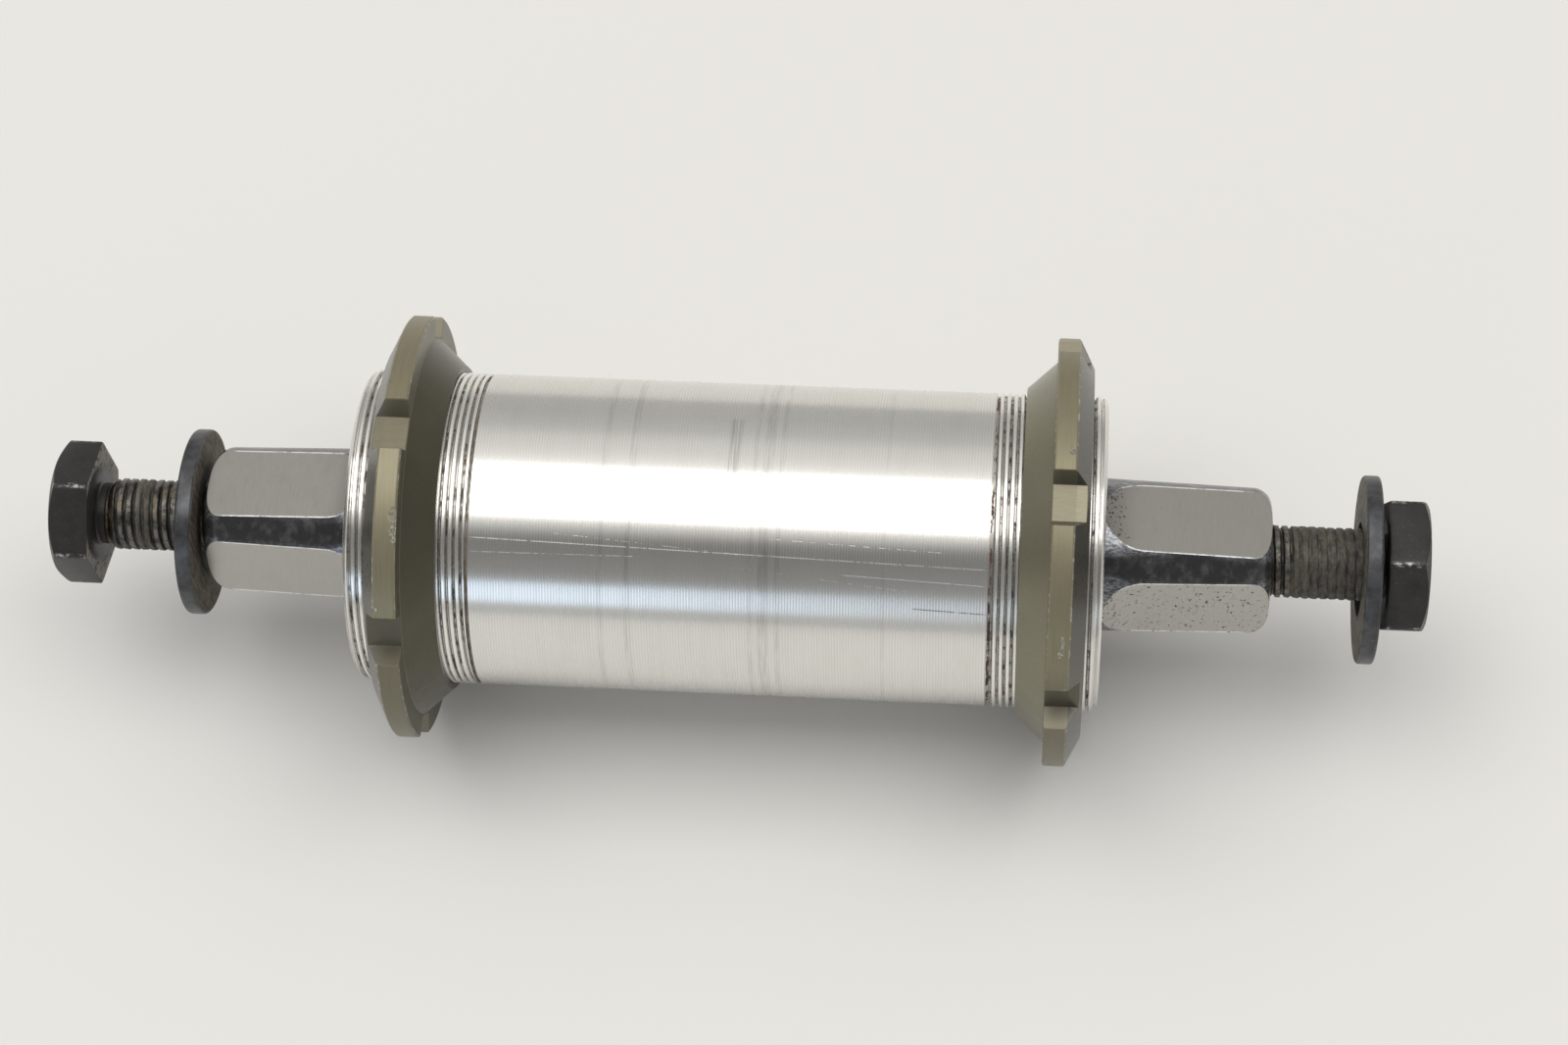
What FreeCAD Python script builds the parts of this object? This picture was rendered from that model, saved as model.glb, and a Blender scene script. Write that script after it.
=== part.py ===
import FreeCAD, Part
import math
import os
import Sketcher

# Square taper bottom bracket of a bicycle, with a threaded sleeve and two conical lock rings.
# The axle lies along X with its longer, drive side at +X, and +Z is up as it lies on its rings.
# The origin is on the axle's axis, midway between the ends of the sleeve. Millimetres and degrees.

DRIVING_SIZES = [
    ("clear_cut", 2.0, "how far a cutting outline runs past the piece that it cuts"),
    ("sleeve_length", 81.4, "end to end"),
    ("thread_wall", 2.24, "from a bearing seat out to the crests of the sleeve's thread"),
    ("plain_step", 0.05, "plain middle of the sleeve, below the crests of its threads"),
    ("left_thread_length", 13.6, "from the left end"),
    ("right_thread_length", 12.2, "from the right end"),
    ("relief_width", 0.8, "groove that each thread runs out in"),
    ("relief_depth", 0.4, "below the crests of the thread"),
    ("bore_step", 1.61, "shoulder in the sleeve that stops a bearing"),
    ("sleeve_chamfer", 0.6, "outside edge of each end"),
    ("seat_chamfer", 0.4, "mouth of each bearing seat"),
    ("bearing_recess", 2.7, "from a sleeve end in to the bearing"),
    ("bearing_section", 6.5, "from the axle's journal out to the outside of a bearing"),
    ("seat_clearance", 0.01, "pushed fit of a race on its seat"),
    ("race_chamfer", 0.3, "corners of the races at their seats"),
    ("race_edge", 0.1, "other corners of the races"),
    ("land_height", 1.25, "from the balls' pitch circle to the shoulder of each race"),
    ("ball_radius", 1.75, ""),
    ("ball_count", 13, ""),
    ("ball_clearance", 0.05, "between a ball and its groove or pocket"),
    ("cage_side", 0.55, "cage beside a pocket"),
    ("cage_gap", 0.25, "from the cage to each seal"),
    ("cage_thickness", 1.5, "in the radial direction"),
    ("seal_seat_depth", 0.7, "step in the outer race that holds a seal"),
    ("seal_thickness", 0.6, ""),
    ("seal_web_thickness", 0.35, "between the bead and the lip"),
    ("seal_bead", 0.7, "radial width of the bead and of the lip"),
    ("seal_inset", 0.3, "from the race's face in to the seal"),
    ("seal_gap", 0.1, "between the seal's lip and the inner race"),
    ("journal_radius", 8.5, "axle where the bearings sit"),
    ("journal_land", 0.8, "axle left outside each clip groove"),
    ("axle_shoulder", 0.9, "step of the axle's middle that stops the inner races"),
    ("corner_drop", 0.1, "turned corners of the square below the journal, at the journal"),
    ("corner_slope", 0.5, "fall of the corners from there to the end of the axle"),
    ("flat_depth", 1.43, "from a corner's turned face in to a flat, at the end of the axle"),
    ("taper_angle", 2.0, "of each flat to the axis"),
    ("flat_length", 13.7, "from the end of the axle to the run-out of the flats"),
    ("left_run_out", 4.5, "from the left journal's end to the straight part of the flats"),
    ("right_run_out", 5.3, "from the right journal's end to the straight part of the flats"),
    ("cutter_radius", 9.0, "run-out of the flats"),
    ("nose_radius", 2.1, "rounding of each end of the axle"),
    ("axle_clock", -8.5, "turn of the square from upright"),
    ("hole_depth", 22.0, "threaded hole in each end of the axle"),
    ("drill_point_angle", 59.0, "side of the drill point to the axis"),
    ("screw_clearance", 0.05, "between a screw thread and its hole, as plain cylinders"),
    ("clip_groove_depth", 0.4, "groove for the retaining clip"),
    ("clip_thickness", 1.0, ""),
    ("clip_clearance", 0.05, "on each side of the clip in its groove and at the groove's floor"),
    ("clip_height", 1.7, "outside of the clip's ring above the journal"),
    ("clip_offset", 0.35, "the clip's outside is lower than its bore"),
    ("clip_lug_root", 0.3, "foot of the lugs above the clip's bore, inside its ring"),
    ("clip_lug_height", 3.3, "top of the lugs above the journal"),
    ("clip_lug_width", 7.2, "across both lugs"),
    ("clip_gap", 2.2, "between the lugs"),
    ("clip_eye_radius", 0.75, "holes in the lugs"),
    ("clip_eye_drop", 1.5, "from the top of the lugs down to the holes"),
    ("shell_width", 68.7, "between the faces of the two lock rings that meet the frame's shell"),
    ("shell_offset", 0.6, "middle of those faces from the origin"),
    ("ring_clearance", 0.05, "between the sleeve's thread and a lock ring, as plain cylinders"),
    ("ring_bore_chamfer", 0.4, "at the outer face of a lock ring"),
    ("cone_wall", 0.6, "thin end of a lock ring's nose cone"),
    ("cone_length", 3.2, "nose cone of a lock ring"),
    ("cone_rise", 2.95, "from the thin end of the cone to its thick end"),
    ("shell_face", 2.65, "face of the rim that meets the frame's shell, above the cone"),
    ("rim_width", 2.5, ""),
    ("rim_edge", 0.2, "broken edges of the rim"),
    ("ring_bevel_length", 1.55, "slope from the rim to the outer face"),
    ("ring_bevel_drop", 3.25, "fall of that slope"),
    ("notch_count", 6, "spanner notches round a lock ring"),
    ("notch_depth", 2.53, "from the rim down to the flat floor of a notch"),
    ("notch_floor_width", 4.0, ""),
    ("notch_mouth_width", 6.25, "at the rim"),
    ("left_ring_clock", 0.0, "turn of the left ring's notches from upright"),
    ("right_ring_clock", 13.25, "turn of the right ring's notches from upright"),
    ("screw_radius", 4.0, "crests of the crank bolts' threads"),
    ("screw_length", 18.0, "under the head"),
    ("screw_point", 0.7, "chamfer at the end of the thread"),
    ("neck_depth", 0.6, "undercut below the head"),
    ("neck_length", 1.3, ""),
    ("head_flats", 14.0, "across the flats of the hexagon"),
    ("head_height", 4.5, ""),
    ("head_chamfer_step", 0.3, "from a flat in to the round top of the head"),
    ("head_chamfer_angle", 30.0, "slope of the head's corners"),
    ("left_bolt_gap", 12.9, "from the axle's left end to the left bolt's head"),
    ("right_bolt_gap", 12.5, "from the axle's right end to the right bolt's head"),
    ("left_head_clock", 6.2, "turn of a corner of the left head from upright"),
    ("right_head_clock", 26.0, "turn of a corner of the right head from upright"),
    ("washer_play", 1.2, "washer's hole past the thread"),
    ("washer_land", 5.15, "from a washer's hole to its outside"),
    ("washer_thickness", 1.85, ""),
    ("washer_rounding", 0.35, "outside edges"),
    ("washer_hang_clearance", 0.05, "between a washer's hole and the thread that it hangs on"),
    ("left_washer_gap", 0.85, "from the axle's left end to the left washer"),
    ("right_washer_gap", 0.8, "from the right washer to the right bolt's head"),
]

# Sizes of the bearings and of what fits round them, as formulas in the driving sizes
BEARING_RADIUS = "(sizes.journal_radius + sizes.bearing_section)"
PITCH_RADIUS = "(sizes.journal_radius + sizes.bearing_section / 2)"
POCKET_RADIUS = "(sizes.ball_radius + sizes.ball_clearance)"
HALF_CAGE = f"({POCKET_RADIUS} + sizes.cage_side)"
SEAL_BACK = f"({HALF_CAGE} + sizes.cage_gap)"
SEAL_MIDDLE = f"({SEAL_BACK} + sizes.seal_thickness / 2)"
HALF_BEARING = f"({SEAL_BACK} + sizes.seal_thickness + sizes.seal_inset)"
INNER_LAND = f"({PITCH_RADIUS} - sizes.land_height)"
OUTER_LAND = f"({PITCH_RADIUS} + sizes.land_height)"
SEAL_SEAT = f"({OUTER_LAND} + sizes.seal_seat_depth)"
SEAT_RADIUS = f"({BEARING_RADIUS} + sizes.seat_clearance)"
THREAD_RADIUS = f"({SEAT_RADIUS} + sizes.thread_wall)"

# Radii of the lock rings
RING_BORE = f"({THREAD_RADIUS} + sizes.ring_clearance)"
CONE_START = f"({RING_BORE} + sizes.cone_wall)"
CONE_END = f"({CONE_START} + sizes.cone_rise)"
RIM_RADIUS = f"({CONE_END} + sizes.shell_face)"
NOTCH_FLOOR = f"({RIM_RADIUS} - sizes.notch_depth)"

# Places along the axis, measured outwards from the origin
HALF_SLEEVE = "sizes.sleeve_length / 2"
BEARING_FACE = f"({HALF_SLEEVE} - sizes.bearing_recess)"
BEARING_MIDDLE = f"({BEARING_FACE} - {HALF_BEARING})"
BEARING_BACK = f"({BEARING_MIDDLE} - {HALF_BEARING})"
CLIP_GROOVE_END = f"({BEARING_FACE} + sizes.clip_thickness + 2 * sizes.clip_clearance)"
JOURNAL_END = f"({CLIP_GROOVE_END} + sizes.journal_land)"
AXLE_REACH = {
    "left": f"({JOURNAL_END} + sizes.left_run_out + sizes.flat_length)",
    "right": f"({JOURNAL_END} + sizes.right_run_out + sizes.flat_length)",
}

# Radii of the axle, its clips and the crank bolts
CLIP_GROOVE_RADIUS = "(sizes.journal_radius - sizes.clip_groove_depth)"
CORNER_BASE = "(sizes.journal_radius - sizes.corner_drop)"
CORNER_TIP = f"({CORNER_BASE} - sizes.corner_slope)"
FLAT_TIP = f"({CORNER_TIP} - sizes.flat_depth)"
SCREW_HOLE_RADIUS = "(sizes.screw_radius + sizes.screw_clearance)"
DRILL_POINT = f"({SCREW_HOLE_RADIUS} / tan(sizes.drill_point_angle))"
NECK_RADIUS = "(sizes.screw_radius - sizes.neck_depth)"
WASHER_HOLE = "(sizes.screw_radius + sizes.washer_play)"
WASHER_RADIUS = f"({WASHER_HOLE} + sizes.washer_land)"
WASHER_DROP = "(sizes.washer_play - sizes.washer_hang_clearance)"

HEAD_SIDE_COUNT = 6
SQUARE_SIDE_COUNT = 4
SAME_LENGTH = 1e-6
SIDES = ("left", "right")

doc = FreeCAD.newDocument("bottom_bracket")
sizes = doc.addObject("Spreadsheet::Sheet", "sizes")
for row, (alias, size, note) in enumerate(DRIVING_SIZES, start=1):
    sizes.set(f"A{row}", alias)
    sizes.set(f"B{row}", str(size))
    sizes.setAlias(f"B{row}", alias)
    sizes.set(f"C{row}", note)
doc.recompute()


def value_of(formula):
    """The number that a formula in the sheet's sizes gives now."""
    result = sizes.evalExpression(formula)
    return float(getattr(result, "Value", result))


def new_body(label):
    body = doc.addObject("PartDesign::Body", label)
    body.Label = label
    return body


def origin_feature(body, role):
    return next(feature for feature in body.Origin.OriginFeatures if feature.Role == role)


def new_sketch(body, plane_role, name):
    sketch = body.newObject("Sketcher::SketchObject", name)
    sketch.AttachmentSupport = [(origin_feature(body, plane_role), "")]
    sketch.MapMode = "FlatFace"
    return sketch


def hold_number(sketch, constraint_index, formula):
    sketch.setExpression(f"Constraints[{constraint_index}]", formula)


def hold_point(sketch, curve, end, across, up):
    """Tie one point of a curve to its two distances from the sketch's origin."""
    for kind, axis, formula in (("DistanceX", -2, across), ("DistanceY", -1, up)):
        if formula == "0":
            sketch.addConstraint(Sketcher.Constraint("PointOnObject", curve, end, axis))
            continue
        number = value_of(formula)
        index = sketch.addConstraint(Sketcher.Constraint(kind, -1, 1, curve, end, number))
        hold_number(sketch, index, formula)


def draw_outline(sketch, corners):
    """Closed outline of straight lines. Each corner is a pair of formulas: across and up."""
    points = [FreeCAD.Vector(value_of(across), value_of(up), 0) for across, up in corners]
    count = len(points)
    for i in range(count):
        sketch.addGeometry(Part.LineSegment(points[i], points[(i + 1) % count]), False)
    for i in range(count):
        sketch.addConstraint(Sketcher.Constraint("Coincident", i, 2, (i + 1) % count, 1))
    for i, (across, up) in enumerate(corners):
        hold_point(sketch, i, 1, across, up)


def draw_circle(sketch, radius, across="0", up="0"):
    centre = FreeCAD.Vector(value_of(across), value_of(up), 0)
    circle = Part.Circle(centre, FreeCAD.Vector(0, 0, 1), value_of(radius))
    curve = sketch.addGeometry(circle, False)
    hold_point(sketch, curve, 3, across, up)
    index = sketch.addConstraint(Sketcher.Constraint("Radius", curve, value_of(radius)))
    hold_number(sketch, index, radius)
    return curve


def draw_rectangle(sketch, low_across, low_up, high_across, high_up):
    draw_outline(
        sketch,
        [(low_across, low_up), (high_across, low_up), (high_across, high_up), (low_across, high_up)],
    )


def turn_about_x(body, sketch, kind, name):
    """A revolution or groove of a whole turn about the axle's axis."""
    feature = body.newObject(kind, name)
    feature.Profile = sketch
    feature.ReferenceAxis = (sketch, ["H_Axis"])
    feature.Angle = 360
    sketch.Visibility = False
    return feature


def revolve_outline(body, name, corners):
    sketch = new_sketch(body, "XY_Plane", f"{name}_outline")
    draw_outline(sketch, corners)
    return turn_about_x(body, sketch, "PartDesign::Revolution", name)


def groove_outline(body, name, corners):
    sketch = new_sketch(body, "XY_Plane", f"{name}_outline")
    draw_outline(sketch, corners)
    return turn_about_x(body, sketch, "PartDesign::Groove", name)


def pad_along_x(body, sketch, name, length):
    pad = body.newObject("PartDesign::Pad", name)
    pad.Profile = sketch
    pad.setExpression("Length", length)
    return pad


def cut_through(body, sketch, name):
    """Cut a sketch right through the body, to both sides of the sketch."""
    pocket = body.newObject("PartDesign::Pocket", name)
    pocket.Profile = sketch
    pocket.Type = 1
    pocket.Midplane = True
    return pocket


def repeat_about_x(body, feature, name, count):
    pattern = body.newObject("PartDesign::PolarPattern", name)
    pattern.Originals = [feature]
    pattern.Axis = (origin_feature(body, "X_Axis"), [""])
    pattern.Angle = 360
    pattern.setExpression("Occurrences", count)
    body.Tip = pattern
    return pattern


def round_edges(body, feature, name, edge_radius, rounding_radius):
    """Round the circular edges of a feature that have the given radius."""
    doc.recompute()
    wanted = value_of(edge_radius)
    edges = []
    for number, edge in enumerate(feature.Shape.Edges, start=1):
        if isinstance(edge.Curve, Part.Circle) and abs(edge.Curve.Radius - wanted) < SAME_LENGTH:
            edges.append(f"Edge{number}")
    rounding = body.newObject("PartDesign::Fillet", name)
    rounding.Base = (feature, edges)
    rounding.setExpression("Radius", rounding_radius)
    body.Tip = rounding
    return rounding


def put_on_side(piece, side, reach, clock="0", drop="0"):
    """Place a piece that points outwards along +X at its side of the bracket.

    reach is its distance from the origin, clock its turn about the axis and drop how far it hangs.
    """
    turn = FreeCAD.Rotation(FreeCAD.Vector(1, 0, 0), value_of(clock))
    across = reach
    if side == "left":
        turn = turn * FreeCAD.Rotation(FreeCAD.Vector(0, 0, 1), 180)
        across = f"-({reach})"
    piece.Placement = FreeCAD.Placement(FreeCAD.Vector(0, 0, 0), turn)
    piece.setExpression(".Placement.Base.x", across)
    piece.setExpression(".Placement.Base.z", f"-({drop})")


def make_sleeve():
    """Aluminium tube: plain in the middle, threaded at both ends, with a bearing seat in each."""
    body = new_body("body_sleeve")
    plain = f"{THREAD_RADIUS} - sizes.plain_step"
    relief = f"{THREAD_RADIUS} - sizes.relief_depth"
    bore = f"{SEAT_RADIUS} - sizes.bore_step"
    left_thread_end = f"-{HALF_SLEEVE} + sizes.left_thread_length"
    right_thread_end = f"{HALF_SLEEVE} - sizes.right_thread_length"
    outside = [
        (f"-{HALF_SLEEVE}", f"{THREAD_RADIUS} - sizes.sleeve_chamfer"),
        (f"-{HALF_SLEEVE} + sizes.sleeve_chamfer", THREAD_RADIUS),
        (f"{left_thread_end} - sizes.relief_width", THREAD_RADIUS),
        (f"{left_thread_end} - sizes.relief_width", relief),
        (left_thread_end, relief),
        (left_thread_end, plain),
        (right_thread_end, plain),
        (right_thread_end, relief),
        (f"{right_thread_end} + sizes.relief_width", relief),
        (f"{right_thread_end} + sizes.relief_width", THREAD_RADIUS),
        (f"{HALF_SLEEVE} - sizes.sleeve_chamfer", THREAD_RADIUS),
        (HALF_SLEEVE, f"{THREAD_RADIUS} - sizes.sleeve_chamfer"),
    ]
    inside = [
        (HALF_SLEEVE, f"{SEAT_RADIUS} + sizes.seat_chamfer"),
        (f"{HALF_SLEEVE} - sizes.seat_chamfer", SEAT_RADIUS),
        (BEARING_BACK, SEAT_RADIUS),
        (BEARING_BACK, bore),
        (f"-{BEARING_BACK}", bore),
        (f"-{BEARING_BACK}", SEAT_RADIUS),
        (f"-{HALF_SLEEVE} + sizes.seat_chamfer", SEAT_RADIUS),
        (f"-{HALF_SLEEVE}", f"{SEAT_RADIUS} + sizes.seat_chamfer"),
    ]
    revolve_outline(body, "sleeve_turning", outside + inside)
    return body


def make_lock_ring(side):
    """Ring that screws on to the sleeve: a cone centres it in the frame's shell, notches turn it."""
    body = new_body(f"{side}_lock_ring")
    rim_inside = "sizes.cone_length"
    rim_outside = "sizes.cone_length + sizes.rim_width"
    face = f"({rim_outside} + sizes.ring_bevel_length)"
    outline = [
        ("0", RING_BORE),
        ("0", CONE_START),
        (rim_inside, CONE_END),
        (rim_inside, f"{RIM_RADIUS} - sizes.rim_edge"),
        (f"{rim_inside} + sizes.rim_edge", RIM_RADIUS),
        (f"{rim_outside} - sizes.rim_edge", RIM_RADIUS),
        (rim_outside, f"{RIM_RADIUS} - sizes.rim_edge"),
        (face, f"{RIM_RADIUS} - sizes.ring_bevel_drop"),
        (face, f"{RING_BORE} + sizes.ring_bore_chamfer"),
        (f"{face} - sizes.ring_bore_chamfer", RING_BORE),
    ]
    revolve_outline(body, f"{side}_ring_turning", outline)
    sketch = new_sketch(body, "YZ_Plane", f"{side}_notch_outline")
    slope = "(sizes.notch_mouth_width - sizes.notch_floor_width) / 2 / sizes.notch_depth"
    top = f"{RIM_RADIUS} + sizes.clear_cut"
    half_floor = "sizes.notch_floor_width / 2"
    half_top = f"sizes.notch_mouth_width / 2 + sizes.clear_cut * {slope}"
    draw_outline(
        sketch,
        [
            (f"-({half_floor})", NOTCH_FLOOR),
            (half_floor, NOTCH_FLOOR),
            (half_top, top),
            (f"-({half_top})", top),
        ],
    )
    notch = cut_through(body, sketch, f"{side}_notch")
    repeat_about_x(body, notch, f"{side}_notches", "sizes.notch_count")
    if side == "left":
        reach = f"sizes.shell_width / 2 - sizes.shell_offset - {rim_inside}"
    else:
        reach = f"sizes.shell_width / 2 + sizes.shell_offset - {rim_inside}"
    put_on_side(body, side, reach, f"sizes.{side}_ring_clock")
    return body


def draw_flat_cut(sketch, tip, pointing):
    """Side view of the cut that makes one tapered flat, with the cutter's round run-out.

    tip is the axle's end and pointing is 1 at the right end and -1 at the left.
    """
    sign = "" if pointing > 0 else "-"
    rise = "sizes.flat_length * tan(sizes.taper_angle)"
    drop = "sizes.clear_cut * tan(sizes.taper_angle)"
    beyond = f"({tip} + sizes.clear_cut)"
    run_out = f"({tip} - sizes.flat_length)"
    cover_height = f"{FLAT_TIP} + {rise} + sizes.cutter_radius + sizes.clear_cut"
    taper = math.radians(value_of("sizes.taper_angle"))
    cutter = value_of("sizes.cutter_radius")
    top = value_of(cover_height)
    end_point = FreeCAD.Vector(pointing * value_of(beyond), value_of(f"{FLAT_TIP} - {drop}"), 0)
    run_out_point = FreeCAD.Vector(
        pointing * value_of(run_out), value_of(f"{FLAT_TIP} + {rise}"), 0
    )
    to_centre = FreeCAD.Vector(pointing * math.sin(taper), math.cos(taper), 0) * cutter
    centre = run_out_point + to_centre
    wall_point = centre - FreeCAD.Vector(pointing * cutter, 0, 0)
    upper_wall = FreeCAD.Vector(wall_point.x, top, 0)
    upper_end = FreeCAD.Vector(end_point.x, top, 0)
    if pointing > 0:
        angles = (math.pi, 1.5 * math.pi - taper)
        wall_end, flat_end = (1, 2)
    else:
        angles = (1.5 * math.pi + taper, 2 * math.pi)
        flat_end, wall_end = (1, 2)
    circle = Part.Circle(centre, FreeCAD.Vector(0, 0, 1), cutter)
    flat = sketch.addGeometry(Part.LineSegment(end_point, run_out_point), False)
    arc = sketch.addGeometry(Part.ArcOfCircle(circle, *angles), False)
    wall = sketch.addGeometry(Part.LineSegment(wall_point, upper_wall), False)
    cover = sketch.addGeometry(Part.LineSegment(upper_wall, upper_end), False)
    end = sketch.addGeometry(Part.LineSegment(upper_end, end_point), False)
    sketch.addConstraint(
        [
            Sketcher.Constraint("Tangent", flat, 2, arc, flat_end),
            Sketcher.Constraint("Tangent", arc, wall_end, wall, 1),
            Sketcher.Constraint("Coincident", wall, 2, cover, 1),
            Sketcher.Constraint("Coincident", cover, 2, end, 1),
            Sketcher.Constraint("Coincident", end, 2, flat, 1),
            Sketcher.Constraint("Vertical", wall),
            Sketcher.Constraint("Horizontal", cover),
            Sketcher.Constraint("Vertical", end),
        ]
    )
    radius = sketch.addConstraint(Sketcher.Constraint("Radius", arc, cutter))
    hold_number(sketch, radius, "sizes.cutter_radius")
    hold_point(sketch, flat, 1, f"{sign}{beyond}", f"{FLAT_TIP} - {drop}")
    hold_point(sketch, flat, 2, f"{sign}{run_out}", f"{FLAT_TIP} + {rise}")
    height = sketch.addConstraint(Sketcher.Constraint("DistanceY", -1, 1, cover, 1, top))
    hold_number(sketch, height, cover_height)


def axle_end_outline(tip, sign):
    """Half section of one end of the axle, from its shoulder out and back along the hole."""
    outline = [
        (BEARING_BACK, "sizes.journal_radius + sizes.axle_shoulder"),
        (BEARING_BACK, "sizes.journal_radius"),
        (BEARING_FACE, "sizes.journal_radius"),
        (BEARING_FACE, CLIP_GROOVE_RADIUS),
        (CLIP_GROOVE_END, CLIP_GROOVE_RADIUS),
        (CLIP_GROOVE_END, "sizes.journal_radius"),
        (JOURNAL_END, "sizes.journal_radius"),
        (f"{JOURNAL_END} + sizes.corner_drop", CORNER_BASE),
        (tip, CORNER_TIP),
        (tip, SCREW_HOLE_RADIUS),
        (f"{tip} - sizes.hole_depth", SCREW_HOLE_RADIUS),
        (f"{tip} - sizes.hole_depth - {DRILL_POINT}", "0"),
    ]
    return [(f"{sign}({across})", up) for across, up in outline]


def make_axle():
    """Steel axle: round in the bearings, a tapered square and a threaded hole at each end."""
    body = new_body("axle")
    right_outline = axle_end_outline(AXLE_REACH["right"], "")
    left_outline = axle_end_outline(AXLE_REACH["left"], "-")
    turning = revolve_outline(body, "axle_turning", right_outline + left_outline[::-1])
    round_edges(body, turning, "axle_noses", CORNER_TIP, "sizes.nose_radius")
    for side, pointing in (("left", -1), ("right", 1)):
        sketch = new_sketch(body, "XZ_Plane", f"{side}_flat_outline")
        draw_flat_cut(sketch, AXLE_REACH[side], pointing)
        flat = cut_through(body, sketch, f"{side}_flat")
        repeat_about_x(body, flat, f"{side}_square", f"{SQUARE_SIDE_COUNT}")
    put_on_side(body, "right", "0", "sizes.axle_clock")
    return body


def make_bolt(side):
    """Crank bolt: chamfered hexagon head, undercut neck and thread. Its head's seat is at x = 0."""
    body = new_body(f"{side}_axle_bolt")
    point_start = "-(sizes.screw_length - sizes.screw_point)"
    revolve_outline(
        body,
        f"{side}_shank",
        [
            ("0", "0"),
            ("0", NECK_RADIUS),
            ("-(sizes.neck_length)", NECK_RADIUS),
            ("-(sizes.neck_length + sizes.neck_depth)", "sizes.screw_radius"),
            (point_start, "sizes.screw_radius"),
            ("-(sizes.screw_length)", "sizes.screw_radius - sizes.screw_point"),
            ("-(sizes.screw_length)", "0"),
        ],
    )
    sketch = new_sketch(body, "YZ_Plane", f"{side}_hexagon")
    corner_radius = f"sizes.head_flats / 2 / cos({180 / HEAD_SIDE_COUNT})"
    corners = []
    for corner in range(HEAD_SIDE_COUNT):
        angle = 90 + corner * 360 / HEAD_SIDE_COUNT
        corners.append((f"{corner_radius} * cos({angle})", f"{corner_radius} * sin({angle})"))
    draw_outline(sketch, corners)
    pad_along_x(body, sketch, f"{side}_head", "sizes.head_height")
    beyond = f"({corner_radius} + sizes.clear_cut)"
    top_radius = "(sizes.head_flats / 2 - sizes.head_chamfer_step)"
    depth = f"({beyond} - {top_radius}) * tan(sizes.head_chamfer_angle)"
    chamfer = groove_outline(
        body,
        f"{side}_head_chamfer",
        [
            ("sizes.head_height", top_radius),
            (f"sizes.head_height - {depth}", beyond),
            ("sizes.head_height + sizes.clear_cut", beyond),
            ("sizes.head_height + sizes.clear_cut", top_radius),
        ],
    )
    body.Tip = chamfer
    reach = f"{AXLE_REACH[side]} + sizes.{side}_bolt_gap"
    put_on_side(body, side, reach, f"sizes.{side}_head_clock")
    return body


def make_washer(side):
    """Loose plate washer, hanging on the bolt's thread by the top of its hole."""
    body = new_body(f"{side}_washer")
    sketch = new_sketch(body, "YZ_Plane", f"{side}_washer_outline")
    draw_circle(sketch, WASHER_RADIUS)
    draw_circle(sketch, WASHER_HOLE)
    pad = pad_along_x(body, sketch, f"{side}_washer_plate", "sizes.washer_thickness")
    round_edges(body, pad, f"{side}_washer_edges", WASHER_RADIUS, "sizes.washer_rounding")
    if side == "left":
        reach = f"{AXLE_REACH[side]} + sizes.left_washer_gap"
    else:
        head_seat = f"{AXLE_REACH[side]} + sizes.right_bolt_gap"
        reach = f"{head_seat} - sizes.right_washer_gap - sizes.washer_thickness"
    put_on_side(body, side, reach, drop=WASHER_DROP)
    return body


def race_outline(bore, outside, bore_side_edge, outer_side_edge):
    """Half section of a race about its middle, with each side's two corners broken."""
    inner_x = f"({HALF_BEARING} - {bore_side_edge})"
    outer_x = f"({HALF_BEARING} - {outer_side_edge})"
    return [
        (f"-{inner_x}", bore),
        (inner_x, bore),
        (HALF_BEARING, f"{bore} + {bore_side_edge}"),
        (HALF_BEARING, f"{outside} - {outer_side_edge}"),
        (outer_x, outside),
        (f"-{outer_x}", outside),
        (f"-{HALF_BEARING}", f"{outside} - {outer_side_edge}"),
        (f"-{HALF_BEARING}", f"{bore} + {bore_side_edge}"),
    ]


def cut_ball_groove(body, name):
    sketch = new_sketch(body, "XY_Plane", f"{name}_outline")
    draw_circle(sketch, POCKET_RADIUS, "0", PITCH_RADIUS)
    return turn_about_x(body, sketch, "PartDesign::Groove", name)


def make_inner_race(side):
    body = new_body(f"{side}_inner_race")
    bore = "(sizes.journal_radius + sizes.seat_clearance)"
    outline = race_outline(bore, INNER_LAND, "sizes.race_chamfer", "sizes.race_edge")
    revolve_outline(body, f"{side}_inner_turning", outline)
    cut_ball_groove(body, f"{side}_inner_groove")
    put_on_side(body, side, BEARING_MIDDLE)
    return body


def make_outer_race(side):
    """Outer race, with a recess at each face for a seal."""
    body = new_body(f"{side}_outer_race")
    outline = race_outline(SEAL_SEAT, BEARING_RADIUS, "sizes.race_edge", "sizes.race_chamfer")
    land = [
        (f"-{SEAL_BACK}", SEAL_SEAT),
        (f"-{SEAL_BACK}", OUTER_LAND),
        (SEAL_BACK, OUTER_LAND),
        (SEAL_BACK, SEAL_SEAT),
    ]
    revolve_outline(body, f"{side}_outer_turning", outline[:1] + land + outline[1:])
    cut_ball_groove(body, f"{side}_outer_groove")
    put_on_side(body, side, BEARING_MIDDLE)
    return body


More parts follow.
